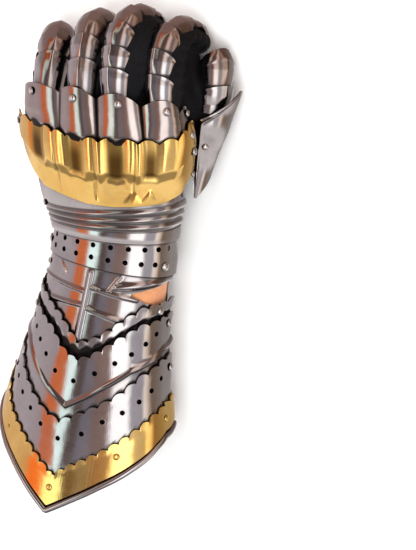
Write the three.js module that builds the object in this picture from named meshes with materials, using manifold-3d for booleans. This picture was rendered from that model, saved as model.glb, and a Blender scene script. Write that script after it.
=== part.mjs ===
import * as THREE from 'three';
import { mergeVertices } from 'three/addons/utils/BufferGeometryUtils.js';
import Module from 'manifold-3d';

const wasm = await Module();
wasm.setup();
const { Manifold, Mesh: SolidMesh } = wasm;

// Left-hand armoured gauntlet lying palm down. Millimetres. +Y to the fingers, +X to the thumb, +Z up.

// Driving sizes
const WRIST_HALF_WIDTH = 46;
const WRIST_RISE = 31;
const CUFF_LENGTH = 209;
const AXIS_START = -230;
const STRAIGHT_LENGTH = 200;
const WRIST_BEND_LENGTH = 50;
const WRIST_BEND_DEG = 14.2;
const WRIST_BEND_TOWARD_DEG = -50.7;
const STEEL = 1.2;
const BRASS = 1.0;
const LEATHER = 1.6;
const GAP = 0.35;
const STEP = STEEL + GAP;
const SCALLOP_DEPTH = 2.6;
const HOLE_RADIUS = 1.9;
const RIVET_RADIUS = 2.9;
const RIVET_HEIGHT = 1.9;
const PALM_FLATNESS = 0.55;
const FINGER_GLOVE_RADIUS = 9.4;
const LAME_THICK = 1.0;
const REST_PITCH_DEG = -0.8828;
const REST_ROLL_DEG = -0.9349;
const REST_LIFT = 31.959;
const REST_SHIFT_X = 7.945;
const REST_SHIFT_Y = 25.578;

const D = Math.PI / 180;

// Colours and finishes of the real materials
const FINISH = {
  steel: { color: 0x9a979b, roughness: 0.24, metalness: 1.0 },
  brass: { color: 0xd3a33c, roughness: 0.2, metalness: 1.0 },
  glove: { color: 0x16161a, roughness: 0.75, metalness: 0.0 },
  strap: { color: 0xc8744a, roughness: 0.8, metalness: 0.0 },
};

// Cross-sections along the arm: shares of the cuff length (at), wrist half width (side)
// and wrist rise (back of the hand, palm of the hand)
const SECTIONS = [
  { at: -1.029, side: 1.609, back: 1.355, palm: 1.226 },
  { at: -0.766, side: 1.478, back: 1.274, palm: 1.194 },
  { at: -0.622, side: 1.37, back: 1.226, palm: 1.161 },
  { at: -0.478, side: 1.217, back: 1.161, palm: 1.097 },
  { at: -0.335, side: 1.087, back: 1.097, palm: 1.0 },
  { at: -0.191, side: 1.011, back: 1.0, palm: 0.935 },
  { at: -0.072, side: 1.0, back: 0.968, palm: 0.903 },
  { at: 0.024, side: 1.043, back: 1.0, palm: 0.871 },
  { at: 0.12, side: 1.239, back: 1.032, palm: 0.806 },
  { at: 0.215, side: 1.37, back: 1.032, palm: 0.71 },
  { at: 0.311, side: 1.435, back: 1.0, palm: 0.645 },
  { at: 0.407, side: 1.391, back: 0.903, palm: 0.581 },
  { at: 0.53, side: 1.304, back: 0.774, palm: 0.516 },
];

// Edges of the plates: turn in degrees from the back centre line (plus towards the thumb), along in mm
const UPPER_TOP = [
  { turn: -104, along: -47 },
  { turn: -42, along: -58 },
  { turn: -18, along: -67 },
  { turn: 4, along: -83 },
  { turn: 21, along: -75 },
  { turn: 30, along: -67.5 },
  { turn: 41, along: -59 },
  { turn: 58, along: -50 },
  { turn: 104, along: -43 },
];
const MIDDLE_TOP = [
  { turn: -104, along: -58 },
  { turn: -47, along: -70 },
  { turn: -23, along: -78 },
  { turn: -10, along: -89 },
  { turn: 4, along: -95 },
  { turn: 14, along: -91 },
  { turn: 25, along: -83 },
  { turn: 38, along: -73.5 },
  { turn: 56, along: -63 },
  { turn: 104, along: -54 },
];
const BEAD_LINE = [
  { turn: -104, along: -76 },
  { turn: -53, along: -92 },
  { turn: -30, along: -108 },
  { turn: -13, along: -120 },
  { turn: 2, along: -128 },
  { turn: 25, along: -110 },
  { turn: 49, along: -94 },
  { turn: 104, along: -73 },
];
const BELL_TOP = [
  { turn: -104, along: -86 },
  { turn: -60, along: -104 },
  { turn: -40, along: -118 },
  { turn: -24, along: -130 },
  { turn: -12, along: -138 },
  { turn: 0, along: -142 },
  { turn: 18, along: -129 },
  { turn: 35, along: -117 },
  { turn: 58, along: -99 },
  { turn: 86, along: -88 },
  { turn: 104, along: -84 },
];
const BORDER_TOP = [
  { turn: -104, along: -114 },
  { turn: -70, along: -128 },
  { turn: -47, along: -146 },
  { turn: -32, along: -156 },
  { turn: -19, along: -166 },
  { turn: -4, along: -178 },
  { turn: 2, along: -182 },
  { turn: 10, along: -173 },
  { turn: 22, along: -163 },
  { turn: 38, along: -150 },
  { turn: 53, along: -138 },
  { turn: 69, along: -127 },
  { turn: 94, along: -117 },
  { turn: 104, along: -113 },
];
const RIM = [
  { turn: -106, along: -133 },
  { turn: -75, along: -148 },
  { turn: -52, along: -164 },
  { turn: -30, along: -181 },
  { turn: -12, along: -197 },
  { turn: 1, along: -208 },
  { turn: 14, along: -196 },
  { turn: 31, along: -181 },
  { turn: 53, along: -164 },
  { turn: 76, along: -148 },
  { turn: 106, along: -133 },
];
const HAND_TOP = [
  { turn: -76, along: 84 },
  { turn: -59, along: 82 },
  { turn: -40, along: 79 },
  { turn: -17, along: 74 },
  { turn: 0, along: 70 },
  { turn: 30, along: 68 },
  { turn: 50, along: 66 },
  { turn: 66, along: 67 },
  { turn: 84, along: 72 },
  { turn: 98, along: 77 },
];
const HAND_LOW = [
  { turn: -76, along: 70 },
  { turn: -64, along: 56 },
  { turn: -52, along: 43 },
  { turn: -40, along: 34 },
  { turn: -16, along: 28 },
  { turn: 0, along: 24 },
  { turn: 20, along: 22 },
  { turn: 60, along: 22 },
  { turn: 83, along: 27 },
  { turn: 98, along: 42 },
];

// Fingers: turn and along place the knuckle, roll tips the finger sideways, size scales its length
const FINGERS = [
  { name: 'pinky', turn: -47, along: 92, roll: -24, size: 0.8, lames: 4, lobe: 107, fan: 13, dip: 26 },
  { name: 'ring', turn: -6, along: 90, roll: -8, size: 0.94, lames: 5, lobe: 105, fan: 1, dip: 14 },
  { name: 'middle', turn: 23, along: 86, roll: 4, size: 1.01, lames: 6, lobe: 101, fan: -3, dip: 9 },
  { name: 'index', turn: 67, along: 79, roll: 8, size: 0.93, lames: 5, lobe: 94, fan: -3, dip: 5 },
];
// Curl of a finger from the knuckle to the tip
const FINGER_CURL = [
  { length: 22, bend: 6 },
  { length: 24, bend: 18 },
  { length: 18, bend: 40 },
  { length: 18, bend: 46 },
  { length: 18, bend: 30 },
];
const LOBE_EDGES = [
  { turn: -64, along: 99 },
  { turn: -19, along: 101 },
  { turn: 9, along: 97 },
  { turn: 41, along: 91 },
  { turn: 79, along: 84 },
];

function column(table, key, share) {
  return table.map((row) => row[key] * share);
}

function linear(table, turn) {
  const last = table.length - 1;
  if (turn <= table[0].turn) {
    return table[0].along;
  }
  for (let i = 0; i < last; i += 1) {
    const a = table[i];
    const b = table[i + 1];
    if (turn <= b.turn) {
      return a.along + ((b.along - a.along) * (turn - a.turn)) / (b.turn - a.turn);
    }
  }
  return table[last].along;
}

function smoothTable(xs, ys) {
  const n = xs.length;
  const slope = [];
  for (let i = 0; i < n - 1; i += 1) {
    slope.push((ys[i + 1] - ys[i]) / (xs[i + 1] - xs[i]));
  }
  const tangent = ys.map((_, i) => {
    if (i === 0) {
      return slope[0];
    }
    if (i === n - 1) {
      return slope[n - 2];
    }
    const p = slope[i - 1];
    const q = slope[i];
    return p * q <= 0 ? 0 : (2 * p * q) / (p + q);
  });
  return (value) => {
    const x = Math.min(Math.max(value, xs[0]), xs[n - 1]);
    let i = 0;
    while (i < n - 2 && x > xs[i + 1]) {
      i += 1;
    }
    const h = xs[i + 1] - xs[i];
    const t = (x - xs[i]) / h;
    const t2 = t * t;
    const t3 = t2 * t;
    const ends = (2 * t3 - 3 * t2 + 1) * ys[i] + (3 * t2 - 2 * t3) * ys[i + 1];
    return ends + (t3 - 2 * t2 + t) * h * tangent[i] + (t3 - t2) * h * tangent[i + 1];
  };
}

// A centre line made of straight and bent stretches; each frame has the line along its y axis
class CentreLine {
  constructor(origin, turn, start, stretches) {
    this.parts = [];
    let state = { p: origin.clone(), q: turn.clone() };
    let at = start;
    for (const { length, bend, toward } of stretches) {
      const part = { at, length, bend: bend * D, toward: (toward ?? 180) * D, p: state.p, q: state.q };
      this.parts.push(part);
      state = this.follow(part, length);
      at += length;
    }
    this.end = at;
  }

  follow(part, distance) {
    const y = new THREE.Vector3(0, 1, 0).applyQuaternion(part.q);
    if (Math.abs(part.bend) < 1e-9) {
      return { p: part.p.clone().addScaledVector(y, distance), q: part.q.clone() };
    }
    const side = new THREE.Vector3(Math.sin(part.toward), 0, Math.cos(part.toward));
    side.applyQuaternion(part.q);
    const hinge = new THREE.Vector3().crossVectors(y, side);
    const angle = (part.bend * distance) / part.length;
    const radius = part.length / part.bend;
    const p = part.p.clone();
    p.addScaledVector(y, radius * Math.sin(angle));
    p.addScaledVector(side, radius * (1 - Math.cos(angle)));
    const turned = new THREE.Quaternion().setFromAxisAngle(hinge, angle).multiply(part.q);
    return { p, q: turned };
  }

  frame(at) {
    const part = this.parts.find((item) => at <= item.at + item.length) ?? this.parts[this.parts.length - 1];
    return this.follow(part, at - part.at);
  }

  point(at, x, z) {
    const { p, q } = this.frame(at);
    return new THREE.Vector3(x, 0, z).applyQuaternion(q).add(p);
  }
}

const sectionAt = column(SECTIONS, 'at', CUFF_LENGTH);
const sideAt = smoothTable(sectionAt, column(SECTIONS, 'side', WRIST_HALF_WIDTH));
const backAt = smoothTable(sectionAt, column(SECTIONS, 'back', WRIST_RISE));
const palmAt = smoothTable(sectionAt, column(SECTIONS, 'palm', WRIST_RISE));

const ARM = new CentreLine(new THREE.Vector3(0, AXIS_START, 0), new THREE.Quaternion(), AXIS_START, [
  { length: STRAIGHT_LENGTH, bend: 0 },
  { length: WRIST_BEND_LENGTH, bend: WRIST_BEND_DEG, toward: WRIST_BEND_TOWARD_DEG },
  { length: STRAIGHT_LENGTH, bend: 0 },
]);

// A point on the arm surface, lifted along the section
function onArm(along, turn, lift) {
  const up = Math.cos(turn * D);
  const rise = up >= 0 ? up : -Math.pow(-up, PALM_FLATNESS);
  const reach = up >= 0 ? backAt(along) : palmAt(along);
  const x = (sideAt(along) + lift) * Math.sin(turn * D);
  return ARM.point(along, x, (reach + lift) * rise);
}

function range(from, to, count) {
  return Array.from({ length: count + 1 }, (_, i) => from + ((to - from) * i) / count);
}

function geometryFrom(points, faces) {
  const geometry = new THREE.BufferGeometry();
  const flat = new Float32Array(points.flatMap((p) => [p.x, p.y, p.z]));
  geometry.setAttribute('position', new THREE.BufferAttribute(flat, 3));
  geometry.setIndex(faces);
  return geometry;
}

// A bent sheet: each row gives {along, lift} for a turn, each column is a turn
function sheet(place, rows, turns, thick) {
  const points = [];
  const faces = [];
  const n = turns.length;
  const m = rows.length;
  for (const depth of [0, thick]) {
    for (const row of rows) {
      for (const turn of turns) {
        const { along, lift } = row(turn);
        points.push(place(along, turn, lift - depth));
      }
    }
  }
  const outer = (i, j) => i * n + j;
  const inner = (i, j) => m * n + i * n + j;
  const quad = (a, b, c, d) => faces.push(a, b, c, a, c, d);
  for (let i = 0; i < m - 1; i += 1) {
    for (let j = 0; j < n - 1; j += 1) {
      quad(outer(i, j), outer(i, j + 1), outer(i + 1, j + 1), outer(i + 1, j));
      quad(inner(i, j), inner(i + 1, j), inner(i + 1, j + 1), inner(i, j + 1));
    }
  }
  for (let j = 0; j < n - 1; j += 1) {
    quad(outer(0, j), inner(0, j), inner(0, j + 1), outer(0, j + 1));
    quad(outer(m - 1, j), outer(m - 1, j + 1), inner(m - 1, j + 1), inner(m - 1, j));
  }
  for (let i = 0; i < m - 1; i += 1) {
    quad(outer(i, 0), outer(i + 1, 0), inner(i + 1, 0), inner(i, 0));
    quad(outer(i, n - 1), inner(i, n - 1), inner(i + 1, n - 1), outer(i + 1, n - 1));
  }
  return geometryFrom(points, faces);
}

// A closed solid through a stack of rings, with a point at each end
function loft(rings) {
  const n = rings[0].length;
  const points = rings.flat();
  const faces = [];
  const centre = (ring) => ring.reduce((sum, p) => sum.add(p), new THREE.Vector3()).divideScalar(n);
  const first = points.length;
  points.push(centre(rings[0]));
  points.push(centre(rings[rings.length - 1]));
  const base = (rings.length - 1) * n;
  for (let j = 0; j < n; j += 1) {
    const k = (j + 1) % n;
    for (let i = 0; i < rings.length - 1; i += 1) {
      const a = i * n + j;
      const b = i * n + k;
      faces.push(a, b, b + n, a, b + n, a + n);
    }
    faces.push(first, k, j);
    faces.push(first + 1, base + j, base + k);
  }
  return geometryFrom(points, faces);
}

function toSolid(geometry) {
  const plain = new THREE.BufferGeometry();
  plain.setAttribute('position', geometry.getAttribute('position'));
  plain.setIndex(geometry.getIndex());
  const merged = mergeVertices(plain, 1e-4);
  return new Manifold(new SolidMesh({
    numProp: 3,
    vertProperties: new Float32Array(merged.getAttribute('position').array),
    triVerts: new Uint32Array(merged.getIndex().array),
  }));
}

function fromSolid(solid) {
  const mesh = solid.getMesh();
  const geometry = new THREE.BufferGeometry();
  geometry.setAttribute('position', new THREE.BufferAttribute(mesh.vertProperties, 3));
  geometry.setIndex(new THREE.BufferAttribute(mesh.triVerts, 1));
  return geometry;
}

// Turn that takes +Y to the outward direction of a surface
function outward(place, along, turn) {
  const a = place(along, turn, 0);
  const b = place(along, turn, 5);
  return new THREE.Quaternion().setFromUnitVectors(new THREE.Vector3(0, 1, 0), b.sub(a).normalize());
}

function pin(place, along, turn, radius, length) {
  const geometry = new THREE.CylinderGeometry(radius, radius, length, 6);
  geometry.applyQuaternion(outward(place, along, turn));
  const p = place(along, turn, 0);
  geometry.translate(p.x, p.y, p.z);
  return geometry;
}

function rivetHead(place, along, turn, seat, scale) {
  const r = RIVET_RADIUS * scale;
  const h = RIVET_HEIGHT * scale;
  const profile = [
    new THREE.Vector2(0, 0),
    new THREE.Vector2(r, 0),
    new THREE.Vector2(r * 0.75, h * 0.75),
    new THREE.Vector2(0, h),
  ];
  const geometry = new THREE.LatheGeometry(profile, 7);
  geometry.applyQuaternion(outward(place, along, turn));
  const p = place(along, turn, seat);
  geometry.translate(p.x, p.y, p.z);
  return geometry;
}

function pierce(geometry, place, holes) {
  let solid = toSolid(geometry);
  for (const { along, turn } of holes) {
    solid = solid.subtract(toSolid(pin(place, along, turn, HOLE_RADIUS, 12)));
  }
  return fromSolid(solid);
}

const group = new THREE.Group();
const REST = new THREE.Matrix4();
REST.makeRotationFromEuler(new THREE.Euler(REST_PITCH_DEG * D, REST_ROLL_DEG * D, 0));
REST.setPosition(REST_SHIFT_X, REST_SHIFT_Y, REST_LIFT);

function add(name, geometry, finish) {
  const plain = new THREE.BufferGeometry();
  plain.setAttribute('position', geometry.getAttribute('position').clone());
  plain.setIndex(geometry.getIndex());
  const joined = mergeVertices(plain, 1e-4);
  joined.applyMatrix4(REST);
  joined.computeVertexNormals();
  const mesh = new THREE.Mesh(joined, new THREE.MeshStandardMaterial(FINISH[finish]));
  mesh.name = name;
  group.add(mesh);
}

// Rounded lobes along an edge: three straight runs per lobe
function lobed(from, to, count) {
  return range(from, to, count * 3);
}

function scallop(from, to, count, turn) {
  const t = ((turn - from) / (to - from)) * count;
  return SCALLOP_DEPTH * Math.abs(Math.sin(Math.PI * t));
}

// Cuff plates. Each plate starts over the one above it and dips under the one below it.
const SIDE = 103;
const LOBES = 18;
const BORDER_LOBES = 25;
const LAP = 5;
const OVER = STEP;
const BEAD_RISE = 1.7;
const BEAD_HALF = 2.3;
const BORDER_LIFT = BRASS + GAP;
const RIM_RADIUS = 2.3;

function at(table, shift, lift) {
  return (turn) => ({ along: linear(table, turn) + shift, lift });
}

function lobedEdge(table, count, lift) {
  return (turn) => ({ along: linear(table, turn) + scallop(-SIDE, SIDE, count, turn), lift });
}

const CONE_LEFT = [-103, -86, -70, -54, -40, -28, -16, -7].map((turn) => ({ turn, rise: 0 }));
const CONE_SPINE = [-2, 0.5, 4, 6.5].map((turn, i) => ({ turn, rise: i % 3 ? 2 : 0 }));
const CONE_RIGHT = [14, 26, 38, 52, 66, 80, 92, 103].map((turn) => ({ turn, rise: 0 }));
const CONE_COLUMNS = [...CONE_LEFT, ...CONE_SPINE, ...CONE_RIGHT];
const RIB_ROWS = [
  { along: -59.5, rib: 0 },
  { along: -57.6, rib: 1.2 },
  { along: -55.7, rib: 0 },
  { along: -45, rib: 0 },
  { along: -43, rib: 1.2 },
  { along: -41, rib: 0 },
];

function wristCone() {
  const spine = (turn) => CONE_COLUMNS.find((item) => item.turn === turn).rise;
  const ribbed = (turn) => turn > -60 && turn < 50;
  const row = (item) => (turn) => {
    const low = linear(UPPER_TOP, turn) + LAP + (item.along - RIB_ROWS[0].along) * 0.02;
    const rib = ribbed(turn) ? item.rib : 0;
    return item.along < low
      ? { along: low, lift: spine(turn) * 0.2 }
      : { along: item.along, lift: Math.max(rib, spine(turn)) };
  };
  const rows = [
    (turn) => ({ along: linear(UPPER_TOP, turn) - LAP, lift: 0 }),
    (turn) => ({ along: linear(UPPER_TOP, turn) - 0.5, lift: 0 }),
    ...RIB_ROWS.map(row),
    (turn) => ({ along: -29, lift: spine(turn) * 0.15 }),
    () => ({ along: -19, lift: -0.3 }),
  ];
  const turns = CONE_COLUMNS.map((item) => item.turn);
  const plate = toSolid(sheet(onArm, rows, turns, STEEL));
  const windowRows = [
    (turn) => ({ along: -46 + (turn - 46) * -0.03, lift: 5 }),
    (turn) => ({ along: -37 + (turn - 46) * 0.12, lift: 5 }),
  ];
  const window = toSolid(sheet(onArm, windowRows, range(47, 112, 6), 10));
  return fromSolid(plate.subtract(window));
}

function upperPlate() {
  const rows = [
    at(MIDDLE_TOP, -LAP, 0),
    (turn) => {
      const under = linear(MIDDLE_TOP, turn) + SCALLOP_DEPTH + 0.7;
      return { along: Math.min(under, linear(UPPER_TOP, turn) - LAP - 1.8), lift: 0 };
    },
    at(UPPER_TOP, -LAP - 0.8, OVER),
    lobedEdge(UPPER_TOP, LOBES, OVER),
  ];
  return sheet(onArm, rows, lobed(-SIDE, SIDE, LOBES), STEEL);
}

function middlePlate() {
  const rows = [
    at(BELL_TOP, -LAP, -0.2),
    at(BEAD_LINE, -BEAD_HALF, 0.2),
    at(BEAD_LINE, 0, 0.5 + BEAD_RISE),
    at(BEAD_LINE, BEAD_HALF, 0.8),
    lobedEdge(MIDDLE_TOP, LOBES, OVER + 0.25),
  ];
  const plate = sheet(onArm, rows, lobed(-SIDE, SIDE, LOBES), STEEL);
  return pierce(plate, onArm, MIDDLE_HOLES);
}

function rolledRim() {
  const rings = range(-SIDE, SIDE, 30).map((turn) => {
    const along = linear(RIM, turn);
    const centre = onArm(along, turn, 0.4);
    const up = onArm(along, turn, 5.4).sub(centre).normalize();
    const back = onArm(along + 5, turn, 0.4).sub(centre).normalize();
    return range(0, 288, 4).map((angle) => {
      const p = centre.clone();
      p.addScaledVector(up, RIM_RADIUS * Math.sin(angle * D));
      p.addScaledVector(back, RIM_RADIUS * Math.cos(angle * D));
      return p;
    });
  });
  return loft(rings);
}

function bell() {
  const rows = [
    at(RIM, 0, 0),
    at(BORDER_TOP, SCALLOP_DEPTH + 0.7, 0),
    at(BELL_TOP, -LAP - 0.8, OVER),
    lobedEdge(BELL_TOP, LOBES, OVER),
  ];
  const plate = pierce(sheet(onArm, rows, lobed(-SIDE, SIDE, LOBES), STEEL), onArm, BELL_HOLES);
  return fromSolid(toSolid(plate).add(toSolid(rolledRim())));
}

function brassBorder() {
  const rows = [
    at(RIM, RIM_RADIUS + 1.9, BORDER_LIFT),
    lobedEdge(BORDER_TOP, BORDER_LOBES, BORDER_LIFT),
  ];
  return sheet(onArm, rows, lobed(-SIDE, SIDE, BORDER_LOBES), BRASS);
}

function palmPlate() {
  const rows = [-131, -118, -98, -72, -46, -24].map((along) => () => ({ along, lift: -STEEL - GAP - 0.5 }));
  return sheet(onArm, rows, range(98, 262, 16), STEEL);
}

function wristStrap() {
  const rows = [-50, -38, -26].map((along) => () => ({ along, lift: -STEEL - GAP - 0.3 }));
  return sheet(onArm, rows, range(38, 94, 7), LEATHER);
}

const MIDDLE_HOLES = [
  { turn: -72, along: -71 },
  { turn: -57, along: -76 },
  { turn: -45, along: -82 },
  { turn: -34, along: -89 },
  { turn: -23, along: -97 },
  { turn: -11, along: -106 },
  { turn: 5, along: -109 },
  { turn: 20, along: -100 },
  { turn: 35, along: -90 },
  { turn: 49, along: -82 },
  { turn: 63, along: -74 },
  { turn: 76, along: -67 },
];
const BELL_HOLES = [
  { turn: -62, along: -114 },
  { turn: -48, along: -122 },
  { turn: -36, along: -131 },
  { turn: -24, along: -139 },
  { turn: -13, along: -147 },
  { turn: 1, along: -153 },
  { turn: 16, along: -145 },
  { turn: 29, along: -133 },
  { turn: 43, along: -124 },
  { turn: 57, along: -115 },
  { turn: 70, along: -107 },
  { turn: 84, along: -99 },
];

add('wrist_cone', wristCone(), 'steel');
add('scalloped_plate_upper', upperPlate(), 'steel');
add('scalloped_plate_middle', middlePlate(), 'steel');
add('bell_plate', bell(), 'steel');
add('brass_border', brassBorder(), 'brass');
add('palm_cuff_plate', palmPlate(), 'steel');
add('wrist_strap', wristStrap(), 'strap');

// Wrist lames
const HOLE_ROWS = [
  { first: -49, last: 85, count: 8, along: -9 },
  { first: -62, last: 64, count: 8, along: -18.5 },
];

const PERFORATED = [
  { along: -26.5, lift: OVER },
  { along: -17.5, lift: OVER },
  { along: -8, lift: 0 },
  { along: 1, lift: -0.7 },
];

function perforatedLame() {
  const rows = PERFORATED.map(({ along, lift }) => () => ({ along, lift }));
  const holes = HOLE_ROWS.flatMap(({ first, last, count, along }) =>
    range(first, last, count).map((turn) => ({ turn, along })));
  return pierce(sheet(onArm, rows, range(-98, SIDE, 16), STEEL), onArm, holes);
}

const RIDGES = [
  { along: -5, lift: OVER + 0.1 },
  { along: 3.6, lift: 1.2 },
  { along: 6, lift: 2.5 },
  { along: 8.6, lift: 1 },
  { along: 11.2, lift: 2.3 },
  { along: 13.8, lift: 0.8 },
  { along: 16.4, lift: 1.9 },
  { along: 19, lift: 0.2 },
];

function ridgedLame() {
  const rows = RIDGES.map(({ along, lift }) => () => ({ along, lift }));
  rows.push((turn) => ({ along: turn < -35 || turn > 80 ? 25 : 30, lift: -2.5 * Math.sin(turn * D) ** 2 }));
  return sheet(onArm, rows, range(-98, SIDE, 16), STEEL);
}

add('perforated_lame', perforatedLame(), 'steel');
add('ridged_lame', ridgedLame(), 'steel');

// Back of the hand
const HAND_FROM = -76;
const HAND_TO = 98;
const HAND_LOBES = 13;
const FLUTE_RISE = 1.9;

function brassHandPlate() {
  const wave = (turn) => Math.abs(Math.sin((Math.PI * (turn - HAND_FROM) * HAND_LOBES) / (HAND_TO - HAND_FROM)));
  const flute = (turn) => FLUTE_RISE * wave(turn) * (turn < 78 ? 1 : 0.2);
  const between = (turn, share) => {
    const low = linear(HAND_LOW, turn);
    return low + (linear(HAND_TOP, turn) - low) * share;
  };
  const rows = [
    (turn) => ({ along: linear(HAND_LOW, turn), lift: OVER }),
    (turn) => ({ along: between(turn, 0.34), lift: OVER }),
    (turn) => ({ along: between(turn, 0.46), lift: OVER + flute(turn) }),
    (turn) => ({ along: linear(HAND_TOP, turn) + 2.4 * wave(turn), lift: OVER + flute(turn) * 0.9 }),
  ];
  return sheet(onArm, rows, range(HAND_FROM, HAND_TO, HAND_LOBES * 3), BRASS);
}

const LOBE_RISE = 6.5;
const LOBE_REACH = 6.5;

function lobeWave(turn) {
  for (let i = 0; i < LOBE_EDGES.length - 1; i += 1) {
    const a = LOBE_EDGES[i].turn;
    const b = LOBE_EDGES[i + 1].turn;
    if (turn >= a && turn <= b) {
      return Math.sin((Math.PI * (turn - a)) / (b - a));
    }
  }
  return 0;
}

function knucklePlate() {
  const turns = [LOBE_EDGES[0].turn];
  for (let i = 0; i < LOBE_EDGES.length - 1; i += 1) {
    turns.push(...range(LOBE_EDGES[i].turn, LOBE_EDGES[i + 1].turn, 6).slice(1));
  }
  const swell = (turn) => LOBE_RISE * Math.pow(Math.abs(lobeWave(turn)), 0.75) - 1.6;
  const rows = [
    (turn) => ({ along: linear(HAND_TOP, turn) - 7, lift: -0.2 }),
    (turn) => ({ along: linear(HAND_TOP, turn) + 3.4, lift: -0.2 }),
    (turn) => ({ along: linear(HAND_TOP, turn) + 7.5, lift: swell(turn) * 0.5 }),
    (turn) => ({ along: linear(LOBE_EDGES, turn) - 3, lift: swell(turn) * 0.9 }),
    (turn) => ({ along: linear(LOBE_EDGES, turn) + LOBE_REACH * lobeWave(turn), lift: swell(turn) }),
  ];
  return sheet(onArm, rows, turns, STEEL);
}

function sideTab() {
  const rows = [
    () => ({ along: 66, lift: -0.7 }),
    () => ({ along: 80, lift: -0.7 }),
    (turn) => ({ along: 88 - Math.abs(turn - 90) * 0.45, lift: -0.7 }),
  ];
  return sheet(onArm, rows, range(81, 100, 6), STEEL);
}

add('brass_hand_plate', brassHandPlate(), 'brass');
add('knuckle_plate', knucklePlate(), 'steel');
add('side_tab', sideTab(), 'steel');

// Fingers: each lame rides on the glove and starts under the lame nearer the knuckle
const LAME_LOW = 0.7 + LAME_THICK;
const LAME_HIGH = LAME_LOW + LAME_THICK + 0.6;
const LAME_LAP = 5.5;
const LAME_ROUND = 4.5;
const STALL_ROOT = 3;
const FINGER_SINK = 9.8;

function fingerLine({ turn, along, roll, size, fan, dip }) {
  const { q } = ARM.frame(along);
  const start = onArm(along, turn, -FINGER_SINK);
  const spin = new THREE.Quaternion().setFromEuler(new THREE.Euler(-dip * D, -roll * D, -fan * D, 'ZYX'));
  const stretches = FINGER_CURL.map(({ length, bend }) => ({ length: length * size, bend }));
  return new CentreLine(start, q.clone().multiply(spin), 0, stretches);
}

function around(line, radius) {
  return (along, turn, lift) =>
    line.point(along, (radius + lift) * Math.sin(turn * D), (radius + lift) * Math.cos(turn * D));
}

function lame(line, from, to, last) {
  const place = around(line, FINGER_GLOVE_RADIUS);
  const edge = (turn) => LAME_ROUND * (1 - Math.cos(turn * D));
  const crest = (turn) => (Math.abs(turn) < 1 ? 0.5 : 0);
  const rows = [
    () => ({ along: from, lift: LAME_LOW }),
    () => ({ along: from + LAME_LAP, lift: LAME_LOW }),
    (turn) => ({ along: to - LAME_LAP - 1, lift: LAME_HIGH + crest(turn) }),
    (turn) => ({ along: to - edge(turn), lift: LAME_HIGH + crest(turn) }),
  ];
  if (last) {
    rows.push((turn) => ({ along: to + 4 - edge(turn), lift: LAME_HIGH - 1 }));
    rows.push((turn) => ({ along: to + 7 - edge(turn), lift: LAME_HIGH - 2.4 }));
  }
  return sheet(place, rows, range(-92, 92, 6), LAME_THICK);
}

function stall(line, to, radius) {
  const segments = range(0, 315, 7);
  const ring = (along, r) =>
    segments.map((angle) => line.point(along, r * Math.sin(angle * D), r * Math.cos(angle * D)));
  const shaft = (start, end, r) => {
    const body = range(start, end - r, 6).map((along) => ring(along, r));
    const tip = [30, 60].map((a) => ring(end - r + r * Math.sin(a * D), r * Math.cos(a * D)));
    return toSolid(loft([...body, ...tip]));
  };
  const inside = shaft(-STALL_ROOT - 2, to - LEATHER, radius - LEATHER);
  const hollow = shaft(-STALL_ROOT, to, radius).subtract(inside);
  return fromSolid(hollow.subtract(gloveSolid(-GAP, 0)));
}

const lines = {};
for (const finger of FINGERS) {
  const line = fingerLine(finger);
  lines[finger.name] = line;
  const first = finger.lobe - finger.along;
  const pitch = (line.end - 4 - first) / finger.lames;
  for (let i = 0; i < finger.lames; i += 1) {
    const to = first + pitch * (i + 1);
    const from = i === 0 ? 3 : to - pitch - LAME_LAP;
    const last = i === finger.lames - 1;
    add(`${finger.name}_lame_${i + 1}`, lame(line, from, last ? to - 3 : to, last), 'steel');
  }
}

// Thumb
const THUMB_RADIUS = 10.5;
const THUMB_ROOT = new THREE.Vector3(45.2, 32.5, -17);
const THUMB_AIM = new THREE.Vector3(8, 84, 1);
const THUMB_BACK = new THREE.Vector3(0.93, -0.1, 0.36);
const THUMB_CURL = [
  { length: 46, bend: 0 },
  { length: 30, bend: 12 },
  { length: 22, bend: 16 },
];
const THUMB_PLATE = [
  { along: 0, left: -30, right: 12, lift: 1.8 },
  { along: 18, left: -52, right: 20, lift: 1.9 },
  { along: 36, left: -66, right: 24, lift: 3.4 },
  { along: 52, left: -74, right: 28, lift: 5.8 },
  { along: 61, left: -36, right: 28, lift: 7 },
  { along: 70, left: 0, right: 26, lift: 9.5 },
  { along: 77, left: 16, right: 22, lift: 12 },
];
const THUMB_LAMES = [
  { name: 'thumb_lame_1', from: 60, to: 79 },
  { name: 'thumb_lame_2', from: 73, to: 93 },
];

function thumbLine() {
  const y = THUMB_AIM.clone().normalize();
  const x = new THREE.Vector3().crossVectors(y, THUMB_BACK).normalize();
  const z = new THREE.Vector3().crossVectors(x, y);
  const turn = new THREE.Quaternion().setFromRotationMatrix(new THREE.Matrix4().makeBasis(x, y, z));
  return new CentreLine(THUMB_ROOT, turn, 0, THUMB_CURL);
}

function thumbPlate(line) {
  const place = (along, share, lift) => {
    const left = smoothTable(column(THUMB_PLATE, 'along', 1), column(THUMB_PLATE, 'left', 1))(along);
    const right = smoothTable(column(THUMB_PLATE, 'along', 1), column(THUMB_PLATE, 'right', 1))(along);
    return around(line, THUMB_RADIUS)(along, left + (right - left) * share, lift);
  };
  const crest = (share) => (Math.abs(share - 0.5) < 0.01 ? 0.9 : 0);
  const rows = THUMB_PLATE.map(({ along, lift }) => (share) => ({ along, lift: lift + crest(share) }));
  return sheet(place, rows, range(0, 1, 8), STEEL);
}

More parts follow.
